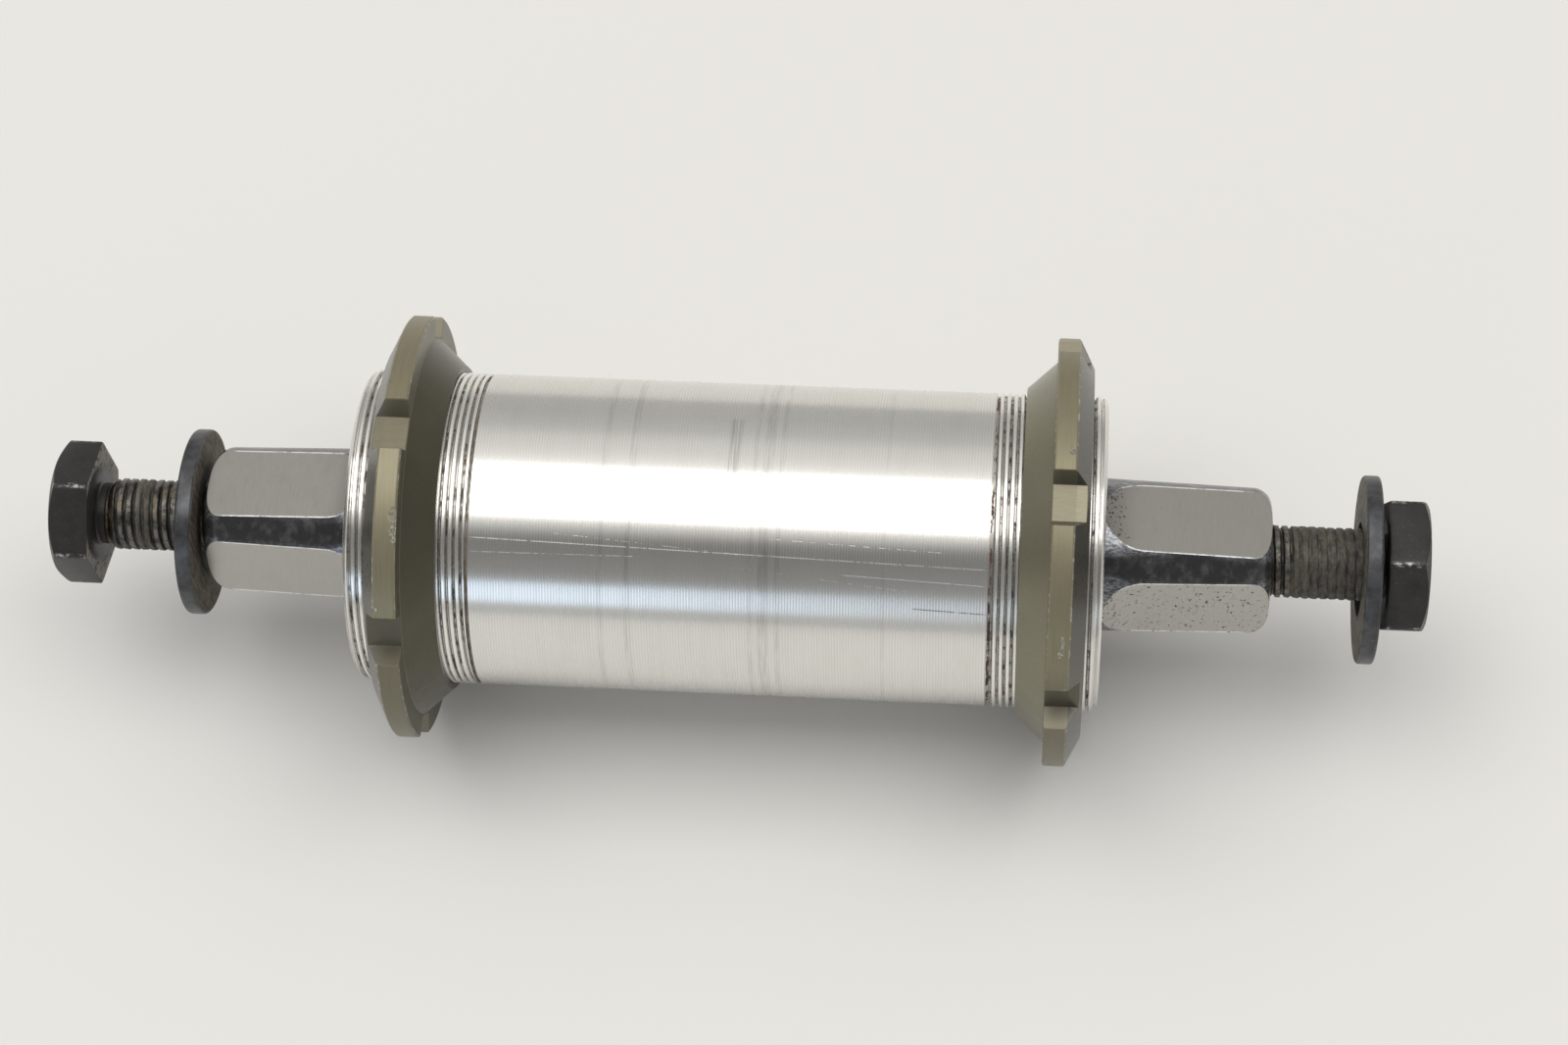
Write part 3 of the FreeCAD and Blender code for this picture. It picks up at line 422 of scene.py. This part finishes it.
def anodised_ring(side):
    """Hard anodised lock ring: dark smooth cone, lighter machined rim and notches, worn edges, painted
    shade low on the rim and in the lower notches.
    """
    look = Look(f"{side}_anodised_ring")
    along = look.math("MULTIPLY_ADD", look.x, SIGN[side], -SIGN[side] * RING_START[side])
    if side == "left":
        dents = [
            (-34.05, -25.0, 23.5, 0.60, 0.9), (-34.0, -28.6, 23.5, 0.55, 0.8),
            (-33.95, -31.2, 23.5, 0.35, 0.5), (-36.2, 13.0, 23.4, 0.35, 0.4),
            (-35.9, -50.0, 23.4, 0.3, 0.35), (-36.1, -61.0, 23.4, 0.3, 0.3),
        ]
    else:
        dents = [
            (36.6, -51.5, 23.5, 0.35, 1.1), (36.4, -54.5, 23.5, 0.40, 0.5),
            (37.0, -66.0, 23.4, 0.40, 0.5), (36.9, -0.5, 23.4, 0.35, 0.6),
            (35.0, -87.0, 23.4, 0.3, 0.3),
        ]
    grain = look.noise((3.0, 3.0, 3.0), 4.0, 0.6)
    cloud = look.noise((0.18, 0.18, 0.18), 2.0, 0.5, 7.0)
    tool_lines = look.noise((11.0, 0.25, 0.25), 2.0, 0.6, 2.0)
    cross_lines = look.noise((0.6, 5.0, 5.0), 3.0, 0.6, 4.0)
    on_rim = look.step(look.radius, 23.2, 23.35)
    on_rim = look.math("MULTIPLY", look.within(along, 3.2, 5.68, 0.02), on_rim)
    turn = look.math("ADD", look.angle, math.radians(30 + RING_CLOCK[side]) + 4 * math.pi)
    off_notch = look.math("SUBTRACT", look.math("MODULO", turn, math.pi / 3), math.pi / 6)
    floor_height = look.math("MULTIPLY", look.radius, look.math("COSINE", off_notch))
    in_notch = look.step(look.math("ABSOLUTE", off_notch), 0.150, 0.154, 1.0, 0.0)
    notch = look.math("MULTIPLY", in_notch, look.step(floor_height, 21.02, 21.06, 1.0, 0.0))
    notch = look.math("MULTIPLY", notch, look.step(floor_height, 20.90, 20.94))
    notch = look.math("MULTIPLY", notch, look.step(along, 3.0, 3.1))
    on_bevel = look.step(along, 5.7, 5.76)
    face = look.step(along, 7.15, 7.22)
    cone = look.step(along, 3.1, 3.2, 1.0, 0.0)
    colour = look.mix(cloud, (0.155, 0.142, 0.104), (0.190, 0.176, 0.132))
    bevel_colour = {"left": (0.175, 0.168, 0.146), "right": (0.118, 0.114, 0.100)}[side]
    colour = look.mix(on_bevel, colour, bevel_colour)
    dark_cone, light_cone = {
        "left": ((0.072, 0.067, 0.046), (0.104, 0.097, 0.070)),
        "right": ((0.205, 0.192, 0.135), (0.250, 0.236, 0.172)),
    }[side]
    colour = look.mix(cone, colour, look.mix(cloud, dark_cone, light_cone))
    rim_colour = look.mix(tool_lines, (0.182, 0.163, 0.103), (0.278, 0.252, 0.170))
    colour = look.mix(on_rim, colour, rim_colour)
    # Painted shade: the rim is painted darker on its lower side, away from the light.
    painted_shade_low = look.step(look.angle, math.radians(-68), math.radians(-58), 0.55, 0.0)
    colour = look.mix(look.math("MULTIPLY", on_rim, painted_shade_low), colour, (0.115, 0.104, 0.074))
    milled_and_shaded = look.mix(cross_lines, (0.150, 0.136, 0.094), (0.222, 0.204, 0.148))
    # Painted shade: the milled notch floors are painted darker the lower they lie.
    milled_and_shaded = look.mix(look.step(look.z, 9.0, 19.0, 0.55, 0.0), milled_and_shaded, (0.060, 0.057, 0.050))
    colour = look.mix(notch, colour, milled_and_shaded)
    roughness = look.math("MULTIPLY_ADD", grain, 0.12, 0.33)
    roughness = look.math("MULTIPLY_ADD", on_bevel, -0.10, roughness)
    roughness = look.math("MULTIPLY_ADD", cone, -0.10, roughness)
    height = look.math("MULTIPLY", look.math("MULTIPLY", tool_lines, on_rim), 1.2)
    height = look.math("MULTIPLY_ADD", grain, 0.5, height)
    height = look.math("MULTIPLY_ADD", look.math("MULTIPLY", cross_lines, notch), 1.5, height)

    # Bare metal shows where the edges are worn and knocked
    edge = look.math("ADD", look.within(along, 3.12, 3.30, 0.05), look.within(along, 5.55, 5.75, 0.05))
    edge = look.math("MULTIPLY", edge, look.step(look.radius, 23.2, 23.3))
    rubbed = look.step(look.noise((1.2, 1.2, 1.2), 4.0, 0.7, 12.0), 0.50, 0.66)
    bare = look.math("MULTIPLY", edge, rubbed)
    bore_edge = look.math("MULTIPLY", face, look.step(look.radius, 17.75, 17.9, 1.0, 0.0))
    bare = look.math("MAXIMUM", bare, look.math("MULTIPLY", bore_edge, rubbed))
    knocks = None
    for place, angle, radius, half_length, half_width in dents:
        knock = dent(look, place, math.radians(angle), radius, half_length, half_width)
        knocks = knock if knocks is None else look.math("MAXIMUM", knocks, knock)
    chipped = look.step(look.noise((3.0, 3.0, 3.0), 3.0, 0.7, 19.0), 0.48, 0.62, 0.15, 0.75)
    knocked = look.math("MULTIPLY", knocks, chipped)
    bare = look.math("MAXIMUM", look.math("MULTIPLY", bare, 0.6), knocked)
    colour = look.mix(bare, colour, (0.60, 0.59, 0.565))
    metallic = look.math("MULTIPLY_ADD", on_rim, -0.25, 0.75)
    metallic = look.math("MULTIPLY_ADD", bare, 0.25, metallic)
    normal = look.bump(height, 0.004, look.rounded_edges(0.12))
    uneven = look.math("MULTIPLY", look.noise((4.0, 4.0, 4.0), 3.0, 0.6, 29.0), knocks)
    normal = look.bump(look.math("MULTIPLY_ADD", knocks, -0.7, uneven), 0.4, normal)
    return look.finish(colour, roughness, metallic, normal)


def ground_steel():
    """Axle: ground flats with painted light and shade, dark glossy corners, painted highlights along
    the edges, small pits.
    """
    look = Look("ground_steel")
    distance = look.math("ABSOLUTE", look.x)
    square = look.step(distance, 40.0, 40.05)

    # Radius of the turned corners: a slow cone, then the rounding of the axle's end
    left_nose, right_nose = -56.0, 56.8
    end_face_radius, cone_slope = 5.856, -0.0271
    left_past = look.math("SUBTRACT", left_nose, look.x)
    right_past = look.math("SUBTRACT", look.x, right_nose)
    past = look.math("MAXIMUM", left_past, right_past)
    cone = look.math("MULTIPLY", look.math("MINIMUM", past, 0.0), cone_slope)
    round_part = look.math("MAXIMUM", past, 0.0)
    round_part = look.math("SUBTRACT", NOSE_RADIUS ** 2, look.math("MULTIPLY", round_part, round_part))
    round_part = look.math("SQRT", look.math("MAXIMUM", round_part, 0.0))
    turned = look.math("ADD", look.math("ADD", cone, end_face_radius), round_part)
    depth = look.math("SUBTRACT", turned, look.radius)
    facing = look.facing()
    turn = look.math("ADD", facing, math.radians(45 + AXLE_CLOCK) + 4 * math.pi)
    off_flat = look.math("SUBTRACT", look.math("MODULO", turn, math.pi / 2), math.pi / 4)
    faces_like_flat = look.step(look.math("ABSOLUTE", off_flat), 0.15, 0.30, 1.0, 0.0)
    below_turned = look.math("ADD", depth, look.step(distance, 43.5, 45.5, 0.0, 0.3))
    below_turned = look.step(below_turned, 0.08, 0.11)
    on_end = look.step(past, NOSE_RADIUS - 0.03, NOSE_RADIUS - 0.01)
    flat = look.math("MULTIPLY", faces_like_flat, below_turned)
    flat = look.math("MULTIPLY", flat, look.math("SUBTRACT", 1.0, on_end))
    flat = look.math("MULTIPLY", flat, square)
    corner_mask = look.math("SUBTRACT", square, flat)

    grinding = look.noise((12.0, 0.5, 0.5), 4.0, 0.7)
    cloud = look.noise((0.3, 0.3, 0.3), 3.0, 0.6, 3.0)
    blotch = look.noise((0.8, 0.6, 0.6), 4.0, 0.65, 8.0)
    ground = look.mix(grinding, (0.315, 0.307, 0.287), (0.485, 0.473, 0.444))
    ground = look.mix(look.step(cloud, 0.45, 0.75, 0.0, 0.35), ground, (0.34, 0.325, 0.29))
    # Painted light: flats that face the front are painted lighter.
    ground = look.mix(look.step(facing, -0.2, 0.2, 0.22, 0.0), ground, (0.56, 0.55, 0.52))
    # Painted shade: flats that face up and back are painted darker, most on the right end.
    painted_shade_upper = look.step(look.x, -1.0, 1.0, 0.18, 0.50)
    painted_shade_upper = look.math("MULTIPLY", look.step(facing, -0.2, 0.2), painted_shade_upper)
    ground = look.mix(painted_shade_upper, ground, (0.27, 0.26, 0.24))
    black = look.mix(look.step(blotch, 0.45, 0.80), (0.060, 0.060, 0.063), (0.175, 0.174, 0.178))
    # Painted highlight: the borders of the dark corners next to the flats are painted light and bluish
    # in specks.
    speckle = look.step(look.noise((1.6, 3.5, 3.5), 4.0, 0.75, 33.0), 0.42, 0.62, 0.1, 0.9)
    painted_highlight_near_flat = look.step(look.math("ABSOLUTE", off_flat), 0.61, 0.69, 1.0, 0.0)
    black = look.mix(look.math("MULTIPLY", painted_highlight_near_flat, speckle), black, (0.36, 0.37, 0.40))
    colour = look.mix(flat, (0.46, 0.45, 0.43), ground)
    colour = look.mix(corner_mask, colour, black)

    # Painted highlight: bright lines where the flats meet the corners, but not round their ends,
    # broken up with noise
    straight = look.step(past, -0.6, 0.2, 1.0, 0.0)
    straight = look.math("MULTIPLY", straight, look.step(distance, 41.0, 43.5))
    edge = look.math("MULTIPLY", straight, look.within(depth, -0.02, 0.09, 0.025))
    edge = look.math("MULTIPLY", edge, faces_like_flat)
    worn = look.step(look.noise((0.9, 1.6, 1.6), 4.0, 0.7, 14.0), 0.32, 0.55, 0.1, 0.95)
    worn = look.math("MULTIPLY", edge, worn)
    colour = look.mix(worn, colour, (0.90, 0.90, 0.90))

    # Pits, thickest near the sleeve and on one flat of the longer end
    pit_noise = look.noise((2.6, 2.6, 2.6), 3.0, 0.65, 41.0)
    near = look.step(distance, 40.5, 46.5, 0.20, 0.0)
    near = look.math("MULTIPLY", near, look.step(look.x, -1.0, 1.0, 0.5, 1.0))
    lower_flat = look.within(look.angle, math.radians(-125), math.radians(-42), 0.05)
    lower_flat = look.math("MULTIPLY", lower_flat, look.step(look.x, 40.0, 42.0, 0.0, 0.135))
    level = look.math("SUBTRACT", 0.77, look.math("MAXIMUM", near, lower_flat))
    over = look.math("SUBTRACT", pit_noise, level)
    pits = look.math("MULTIPLY", flat, look.step(over, 0.0, 0.03))
    stain = look.math("MULTIPLY", flat, look.step(over, -0.08, 0.02, 0.0, 0.35))
    colour = look.mix(stain, colour, (0.22, 0.17, 0.11))
    colour = look.mix(pits, colour, (0.030, 0.024, 0.018))
    roughness = look.math("MULTIPLY_ADD", grinding, 0.16, 0.22)
    roughness = look.math("MULTIPLY_ADD", corner_mask, -0.08, roughness)
    roughness = look.math("MULTIPLY_ADD", pits, 0.45, roughness)
    metallic = look.math("MULTIPLY_ADD", pits, -0.7, 1.0)
    metallic = look.math("MULTIPLY_ADD", corner_mask, -0.3, metallic)
    normal = look.bump(look.math("MULTIPLY", grinding, flat), 0.004, look.rounded_edges(0.15))
    normal = look.bump(look.math("MULTIPLY", pits, -1.0), 0.06, normal)
    return look.finish(colour, roughness, metallic, normal)


def black_bolt(side):
    """Black oxide bolt: worn corners on the head, a soiled underside partly darkened with painted
    shade, and dirt in the thread.
    """
    look = Look(f"{side}_black_bolt")
    along = look.math("MULTIPLY_ADD", look.x, SIGN[side], -SIGN[side] * HEAD_SEAT[side])
    grain = look.noise((3.0, 3.0, 3.0), 4.0, 0.65)
    cloud = look.noise((0.45, 0.45, 0.45), 3.0, 0.6, 3.0)
    colour = look.mix(cloud, (0.024, 0.023, 0.024), (0.058, 0.054, 0.050))
    colour = look.mix(look.step(grain, 0.58, 0.72, 0.0, 0.5), colour, (0.10, 0.095, 0.085))
    roughness = look.math("MULTIPLY_ADD", grain, 0.2, 0.30)

    # Corners of the head
    turn = look.math("ADD", look.angle, math.radians(30 + HEAD_CLOCK[side]) + 4 * math.pi)
    off_corner = look.math("SUBTRACT", look.math("MODULO", turn, math.pi / 3), math.pi / 6)
    near_corner = look.step(look.math("ABSOLUTE", off_corner), 0.015, 0.05, 1.0, 0.0)
    on_head = look.math("MULTIPLY", look.step(along, 0.1, 0.3), look.step(look.radius, 7.3, 7.5))
    rubbed = look.step(look.noise((1.1, 1.1, 1.1), 4.0, 0.75, 17.0), 0.50, 0.62, 0.0, 0.8)
    bare = look.math("MULTIPLY", look.math("MULTIPLY", near_corner, on_head), rubbed)
    rim = look.within(look.radius, 6.4, 6.9, 0.1)
    rim = look.math("MULTIPLY", look.within(along, 4.2, 4.6, 0.1), rim)
    bare = look.math("MAXIMUM", bare, look.math("MULTIPLY", rim, look.math("MULTIPLY", rubbed, 0.5)))
    colour = look.mix(bare, colour, (0.42, 0.42, 0.42))

    # Underside of the head: soil, and a dark patch towards the front that is partly grease and partly
    # painted shade
    under = look.step(look.radius, 4.4, 6.2)
    under = look.math("MULTIPLY", look.step(along, 0.03, 0.10, 1.0, 0.0), under)
    soil = look.noise((1.4, 1.4, 1.4), 4.0, 0.7, 23.0)
    soiled = look.mix(look.step(soil, 0.50, 0.64), (0.240, 0.228, 0.202), (0.045, 0.038, 0.028))
    # Partly grease and partly painted shade: darker towards the front of the underside.
    sideways = look.math("POWER", look.math("ADD", look.y, 1.2), 2)
    upwards = look.math("POWER", look.math("SUBTRACT", look.z, 2.3), 2)
    from_grease_and_shade = look.math("SQRT", look.math("ADD", sideways, upwards))
    from_grease_and_shade = look.math("MULTIPLY_ADD", soil, 1.6, from_grease_and_shade)
    grease_and_shade = look.step(from_grease_and_shade, 5.4, 6.2, 1.0, 0.0)
    soiled = look.mix(grease_and_shade, soiled, (0.016, 0.014, 0.012))
    colour = look.mix(under, colour, soiled)

    # Thread
    thread = look.step(look.radius, 4.2, 4.3, 1.0, 0.0)
    thread = look.math("MULTIPLY", look.step(along, -1.1, -0.9, 1.0, 0.0), thread)
    groove = look.math("MULTIPLY", thread, look.step(look.radius, 3.68, 3.82, 1.0, 0.0))
    crest = look.math("MULTIPLY", thread, look.step(look.radius, 3.80, 3.88))
    packed = look.noise((0.9, 0.8, 0.8), 4.0, 0.7, 27.0)
    gold = look.noise((2.4, 0.35, 0.35), 4.0, 0.7, 37.0)
    worn_crest = look.math("MULTIPLY", crest, look.step(packed, 0.38, 0.60))
    colour = look.mix(worn_crest, colour, (0.165, 0.158, 0.142))
    colour = look.mix(groove, colour, look.mix(packed, (0.010, 0.009, 0.008), (0.050, 0.044, 0.034)))
    brown = look.math("MULTIPLY", thread, look.step(gold, 0.55, 0.66, 0.0, 0.85))
    colour = look.mix(brown, colour, (0.190, 0.135, 0.062))
    filled = look.math("MULTIPLY", look.within(along, *FILLED[side], 0.5), thread)
    cake = look.noise((2.0, 0.55, 0.55), 4.0, 0.75, 43.0)
    caked = look.mix(look.step(cake, 0.38, 0.62), (0.018, 0.016, 0.013), (0.090, 0.081, 0.062))
    cover = look.math("MULTIPLY", filled, look.step(cake, 0.30, 0.50, 0.35, 0.85))
    colour = look.mix(cover, colour, caked)
    brown = look.math("MAXIMUM", brown, look.math("MULTIPLY", filled, 0.7))
    roughness = look.math("MULTIPLY_ADD", brown, 0.25, roughness)
    roughness = look.math("MULTIPLY_ADD", under, 0.3, roughness)
    metallic = look.math("MULTIPLY_ADD", look.math("MAXIMUM", brown, under), -0.55, 0.65)
    normal = look.bump(grain, 0.012)
    normal = look.bump(look.math("MULTIPLY", packed, thread), 0.15, normal)
    return look.finish(colour, roughness, metallic, normal)


def black_washer(side):
    """Black plate washer, brownish with old grease on the side that faces the axle, with a painted
    sheen on its outer rim.
    """
    look = Look(f"{side}_black_washer")
    inner = {"left": -58.95, "right": 68.75}[side]
    from_inner = look.math("ABSOLUTE", look.math("SUBTRACT", look.x, inner))
    on_face = look.step(from_inner, 0.03, 0.10, 1.0, 0.0)
    grain = look.noise((3.0, 3.0, 3.0), 4.0, 0.65)
    cloud = look.noise((0.4, 0.4, 0.4), 3.0, 0.6, 2.0)
    streaks = look.noise((1.0, 2.2, 0.5), 4.0, 0.65, 6.0)
    colour = look.mix(cloud, (0.022, 0.023, 0.026), (0.060, 0.059, 0.058))
    colour = look.mix(look.step(grain, 0.56, 0.70, 0.0, 0.5), colour, (0.11, 0.105, 0.10))
    soiled = look.mix(look.step(streaks, 0.35, 0.65), (0.045, 0.038, 0.028), (0.165, 0.143, 0.108))
    colour = look.mix(on_face, colour, soiled)
    hole = look.step(look.radius, 5.9, 6.3, 1.0, 0.0)
    colour = look.mix(look.math("MULTIPLY", hole, 0.7), colour, (0.030, 0.024, 0.018))
    # Painted sheen: the outer rim is painted lighter and bluish.
    hung = look.math("ADD", look.z, 1.15)
    square = look.math("ADD", look.math("POWER", look.y, 2), look.math("POWER", hung, 2))
    edge = look.step(look.math("SQRT", square), 10.0, 10.25)
    edge = look.math("MULTIPLY", edge, look.step(cloud, 0.35, 0.7, 0.15, 0.75))
    colour = look.mix(edge, colour, (0.115, 0.120, 0.130))
    roughness = look.math("MULTIPLY_ADD", on_face, 0.22, look.math("MULTIPLY_ADD", grain, 0.2, 0.28))
    metallic = look.math("MULTIPLY_ADD", on_face, -0.4, 0.7)
    normal = look.bump(grain, 0.012, look.rounded_edges(0.15))
    normal = look.bump(look.math("MULTIPLY", streaks, on_face), 0.05, normal)
    return look.finish(colour, roughness, metallic, normal)


def simple_metal(name, dark, light, roughness):
    look = Look(name)
    grain = look.noise((3.0, 3.0, 3.0), 3.0)
    return look.finish(look.mix(grain, dark, light), roughness, 1.0, look.bump(grain, 0.003))


def simple_plastic(name, dark, light, roughness):
    look = Look(name)
    grain = look.noise((2.0, 2.0, 2.0), 3.0)
    return look.finish(look.mix(grain, dark, light), roughness, 0.0, look.bump(grain, 0.02))


# Meshes of revolution, with helical threads

def mesh_from_rows(name, rows, closed):
    """Faces between rings of points about the X axis. rows[i][k] is a point in millimetres.

    The last point of a ring lies one turn after its first, where tidy_mesh joins the two.
    """
    points = np.array(rows, float)
    ring_count, around = points.shape[:2]
    faces = []
    last = ring_count if closed else ring_count - 1
    for i in range(last):
        below = i * around
        above = (i + 1) % ring_count * around
        for k in range(around - 1):
            faces.append((below + k, below + k + 1, above + k + 1, above + k))
    mesh = bpy.data.meshes.new(name)
    mesh.from_pydata((points.reshape(-1, 3) * MM).tolist(), [], faces)
    return mesh


def tidy_mesh(mesh, crease):
    """Joins points that lie together, turns the faces outwards and keeps the sharp edges."""
    work = bmesh.new()
    work.from_mesh(mesh)
    bmesh.ops.remove_doubles(work, verts=work.verts, dist=2e-7)
    bmesh.ops.dissolve_degenerate(work, edges=work.edges, dist=1e-7)
    bmesh.ops.recalc_face_normals(work, faces=work.faces)
    work.to_mesh(mesh)
    work.free()
    mesh.shade_smooth()
    mesh.set_sharp_from_angle(angle=math.radians(crease))


def add_piece(name, mesh, material, body, node):
    piece = bpy.data.objects.new(name, mesh)
    bpy.context.scene.collection.objects.link(piece)
    mesh.materials.append(material)
    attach(piece, body)
    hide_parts(node)
    return piece


def ring_row(x, radius, angles):
    x = np.broadcast_to(x, angles.shape)
    radius = np.broadcast_to(radius, angles.shape)
    return np.stack([x, radius * np.cos(angles), radius * np.sin(angles)], axis=-1)


def thread_rows(start, end, pitch, profile, ceiling, angles, openness=None):
    """Rings that follow a helix from start to end. profile is a list of (part of the pitch, depth).

    ceiling(x) is the radius of the crests there. Rings that would pass an end stop at it.
    openness(x) is 1 where the grooves are clean and less where dirt fills them.
    """
    steps = np.array([part for part, depth in profile] + [1.0])
    depths = np.array([depth for part, depth in profile] + [profile[0][1]])
    turn = angles / (2 * math.pi)
    turns = int(math.ceil((end - start) / pitch)) + 1
    rows = []
    for number in range(turns):
        for part, depth in profile:
            place = start + pitch * (number - 1 + part + turn)
            x = np.clip(place, start, end)
            phase = np.mod((x - start) / pitch - turn, 1.0)
            deep = np.interp(phase, steps, depths)
            inside = (place > start) & (place < end)
            deep = np.where(inside, depth, deep)
            if openness:
                deep = deep * openness(x)
            rows.append(ring_row(x, ceiling(x) - deep, angles))
    return rows


def make_sleeve(material):
    """The sleeve with its two helical threads in place of their plain cylinders."""
    low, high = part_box("body_sleeve")
    left, right = low.x / MM, high.x / MM
    crest, plain, relief = 17.25, TUBE_RADIUS, 16.85
    bore, seat = 13.4, 15.01
    chamfer = 0.6
    left_end, right_end = left + 13.6, right - 12.2
    angles = np.linspace(0, 2 * math.pi, 181)
    profile = [(0.0, 0.05), (0.06, 0.0), (0.40, 0.0), (0.46, 0.05), (0.66, 0.36), (0.78, 0.36)]

    def ceiling(x):
        from_end = np.minimum(x - left, right - x)
        return np.minimum(crest, crest - chamfer + from_end)

    rows = thread_rows(left, left_end - 0.35, 0.75, profile, ceiling, angles)
    for x, radius in [
        (left_end - 0.35, relief), (left_end, relief), (left_end, plain - 0.05),
        (left_end + 0.05, plain), (0.0, plain), (right_end - 0.05, plain),
        (right_end, plain - 0.05), (right_end, relief), (right_end + 0.35, relief),
    ]:
        rows.append(ring_row(x, radius, angles))
    rows += thread_rows(right_end + 0.35, right, 0.75, profile, ceiling, angles)
    for x, radius in [
        (right, seat + 0.4), (right - 0.4, seat), (31.0, seat), (31.0, bore),
        (-31.0, bore), (-31.0, seat), (left + 0.4, seat), (left, seat + 0.4),
    ]:
        rows.append(ring_row(x, radius, angles))
    mesh = mesh_from_rows("sleeve_threaded", rows, True)
    tidy_mesh(mesh, 28)
    return add_piece("sleeve_threaded", mesh, material, "housing", "body_sleeve")


def hexagon_radius(angles, flats, rounding):
    """Radius of a hexagon's outline with a corner at angle 0. Its corners are a little rounded."""
    from_flat = np.abs(np.mod(angles, math.pi / 3) - math.pi / 6)
    straight = flats / 2 / np.cos(from_flat)
    corner = flats / 2 / math.cos(math.pi / 6)
    centre = corner - rounding / math.cos(math.pi / 6)
    off = math.pi / 6 - from_flat
    inside = np.maximum(rounding ** 2 - (centre * np.sin(off)) ** 2, 0)
    arc = centre * np.cos(off) + np.sqrt(inside)
    tangent_off = math.atan2(rounding / 2, centre + rounding * math.cos(math.pi / 6))
    return np.where(off < tangent_off, arc, straight)


def make_bolt(side, material):
    """Crank bolt with a helical thread and a softly worn hexagon. Its head's seat is at x = 0."""
    low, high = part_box(f"{side}_axle_bolt")
    length, neck_length, height, flats = 18.0, 1.3, 4.5, 14.0
    angles = np.linspace(0, 2 * math.pi, 145)
    profile = [(0.0, 0.04), (0.05, 0.0), (0.48, 0.0), (0.53, 0.04), (0.66, 0.30), (0.84, 0.30)]

    def ceiling(x):
        point = 3.3 + x + length
        neck = np.maximum(3.4, 3.4 - neck_length - x)
        ragged = np.sin(5 * angles + 9.1 * x) * np.sin(3 * angles - 4.3 * x + 1.7 * np.sin(2 * x))
        ragged += 0.5 * np.sin(11 * angles - 17.3 * x)
        return np.minimum(4.0, np.minimum(point, neck)) - 0.035 * (1.5 + ragged)

    def openness(x):
        filled_low, filled_high = FILLED[side]
        rise = np.clip((x - filled_low + 0.5 * np.sin(2 * angles)) / 0.7, 0, 1)
        fall = np.clip((filled_high - x + 0.4 * np.sin(3 * angles)) / 0.7, 0, 1)
        lumps = 0.5 + 0.5 * np.sin(7 * angles + 2.3 * x) * np.sin(4 * angles - 3.1 * x)
        return 1 - rise * fall * (0.40 + 0.42 * lumps)

    edge = hexagon_radius(angles, flats, 0.45)
    top = flats / 2 - 0.3
    slope = math.tan(math.radians(30))
    shoulder = height - (edge - top) * slope
    rows = [ring_row(-length, 0.0, angles), ring_row(-length, 2.9, angles)]
    rows += thread_rows(-length, -neck_length, 1.0, profile, ceiling, angles, openness)
    for x, radius in [(-neck_length, 3.4), (-0.2, 3.4), (0.0, 3.6)]:
        rows.append(ring_row(x, radius, angles))
    rows.append(ring_row(0.0, edge - 0.25, angles))
    rows.append(ring_row(0.07, edge - 0.07, angles))
    rows.append(ring_row(0.25, edge, angles))
    rows.append(ring_row(shoulder - 0.12, edge, angles))
    rows.append(ring_row(shoulder + 0.02, edge - 0.07, angles))
    rows.append(ring_row(height - 0.08, top + 0.1, angles))
    rows.append(ring_row(height - 0.01, top - 0.05, angles))
    rows.append(ring_row(height, top - 0.25, angles))
    rows.append(ring_row(height, 0.0, angles))
    mesh = mesh_from_rows(f"{side}_bolt_threaded", rows, False)
    # A ring's first point, which is a corner of the head, lies towards +Y and is turned up first
    turn = Matrix.Rotation(math.radians(HEAD_CLOCK[side]), 4, "X")
    upright = Matrix.Rotation(math.radians(90), 4, "X")
    if side == "left":
        turn = turn @ Matrix.Rotation(math.pi, 4, "Z")
        place = Matrix.Translation((low.x + height * MM, 0, 0))
    else:
        place = Matrix.Translation((high.x - height * MM, 0, 0))
    mesh.transform(place @ turn @ upright)
    tidy_mesh(mesh, 28)
    name = f"{side}_bolt_threaded"
    return add_piece(name, mesh, material, f"{side}_bolt", f"{side}_axle_bolt")


def dress_nodes(names, material):
    for name in names:
        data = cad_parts[name].data
        data.materials.clear()
        data.materials.append(material)


set_camera()
set_world()
add_floor()
add_lamp("key", 2, 0.9, 1.4, 0.62, 5.2, (1.0, 0.99, 0.97))
add_lamp("window", -74, 0.9, 0.75, 0.26, 0.70, (0.62, 0.79, 1.0), across=-0.42)

make_sleeve(turned_aluminium())
race_finish = simple_metal("bearing_steel", (0.50, 0.49, 0.47), (0.60, 0.59, 0.57), 0.22)
cage_finish = simple_plastic("cage_polymer", (0.10, 0.13, 0.17), (0.12, 0.15, 0.20), 0.5)
seal_finish = simple_plastic("seal_rubber", (0.014, 0.014, 0.014), (0.022, 0.022, 0.022), 0.6)
clip_finish = simple_metal("spring_steel", (0.10, 0.098, 0.095), (0.16, 0.155, 0.15), 0.35)
dress_nodes(["axle"], ground_steel())
for side in ("left", "right"):
    make_bolt(side, black_bolt(side))
    dress_nodes([f"{side}_washer"], black_washer(side))
    dress_nodes([f"{side}_lock_ring"], anodised_ring(side))
    dress_nodes([f"{side}_inner_race", f"{side}_outer_race", f"{side}_balls"], race_finish)
    dress_nodes([f"{side}_ball_cage"], cage_finish)
    dress_nodes([f"{side}_outer_seal", f"{side}_inner_seal"], seal_finish)
    dress_nodes([f"{side}_circlip"], clip_finish)

bpy.context.scene.view_settings.view_transform = "Standard"
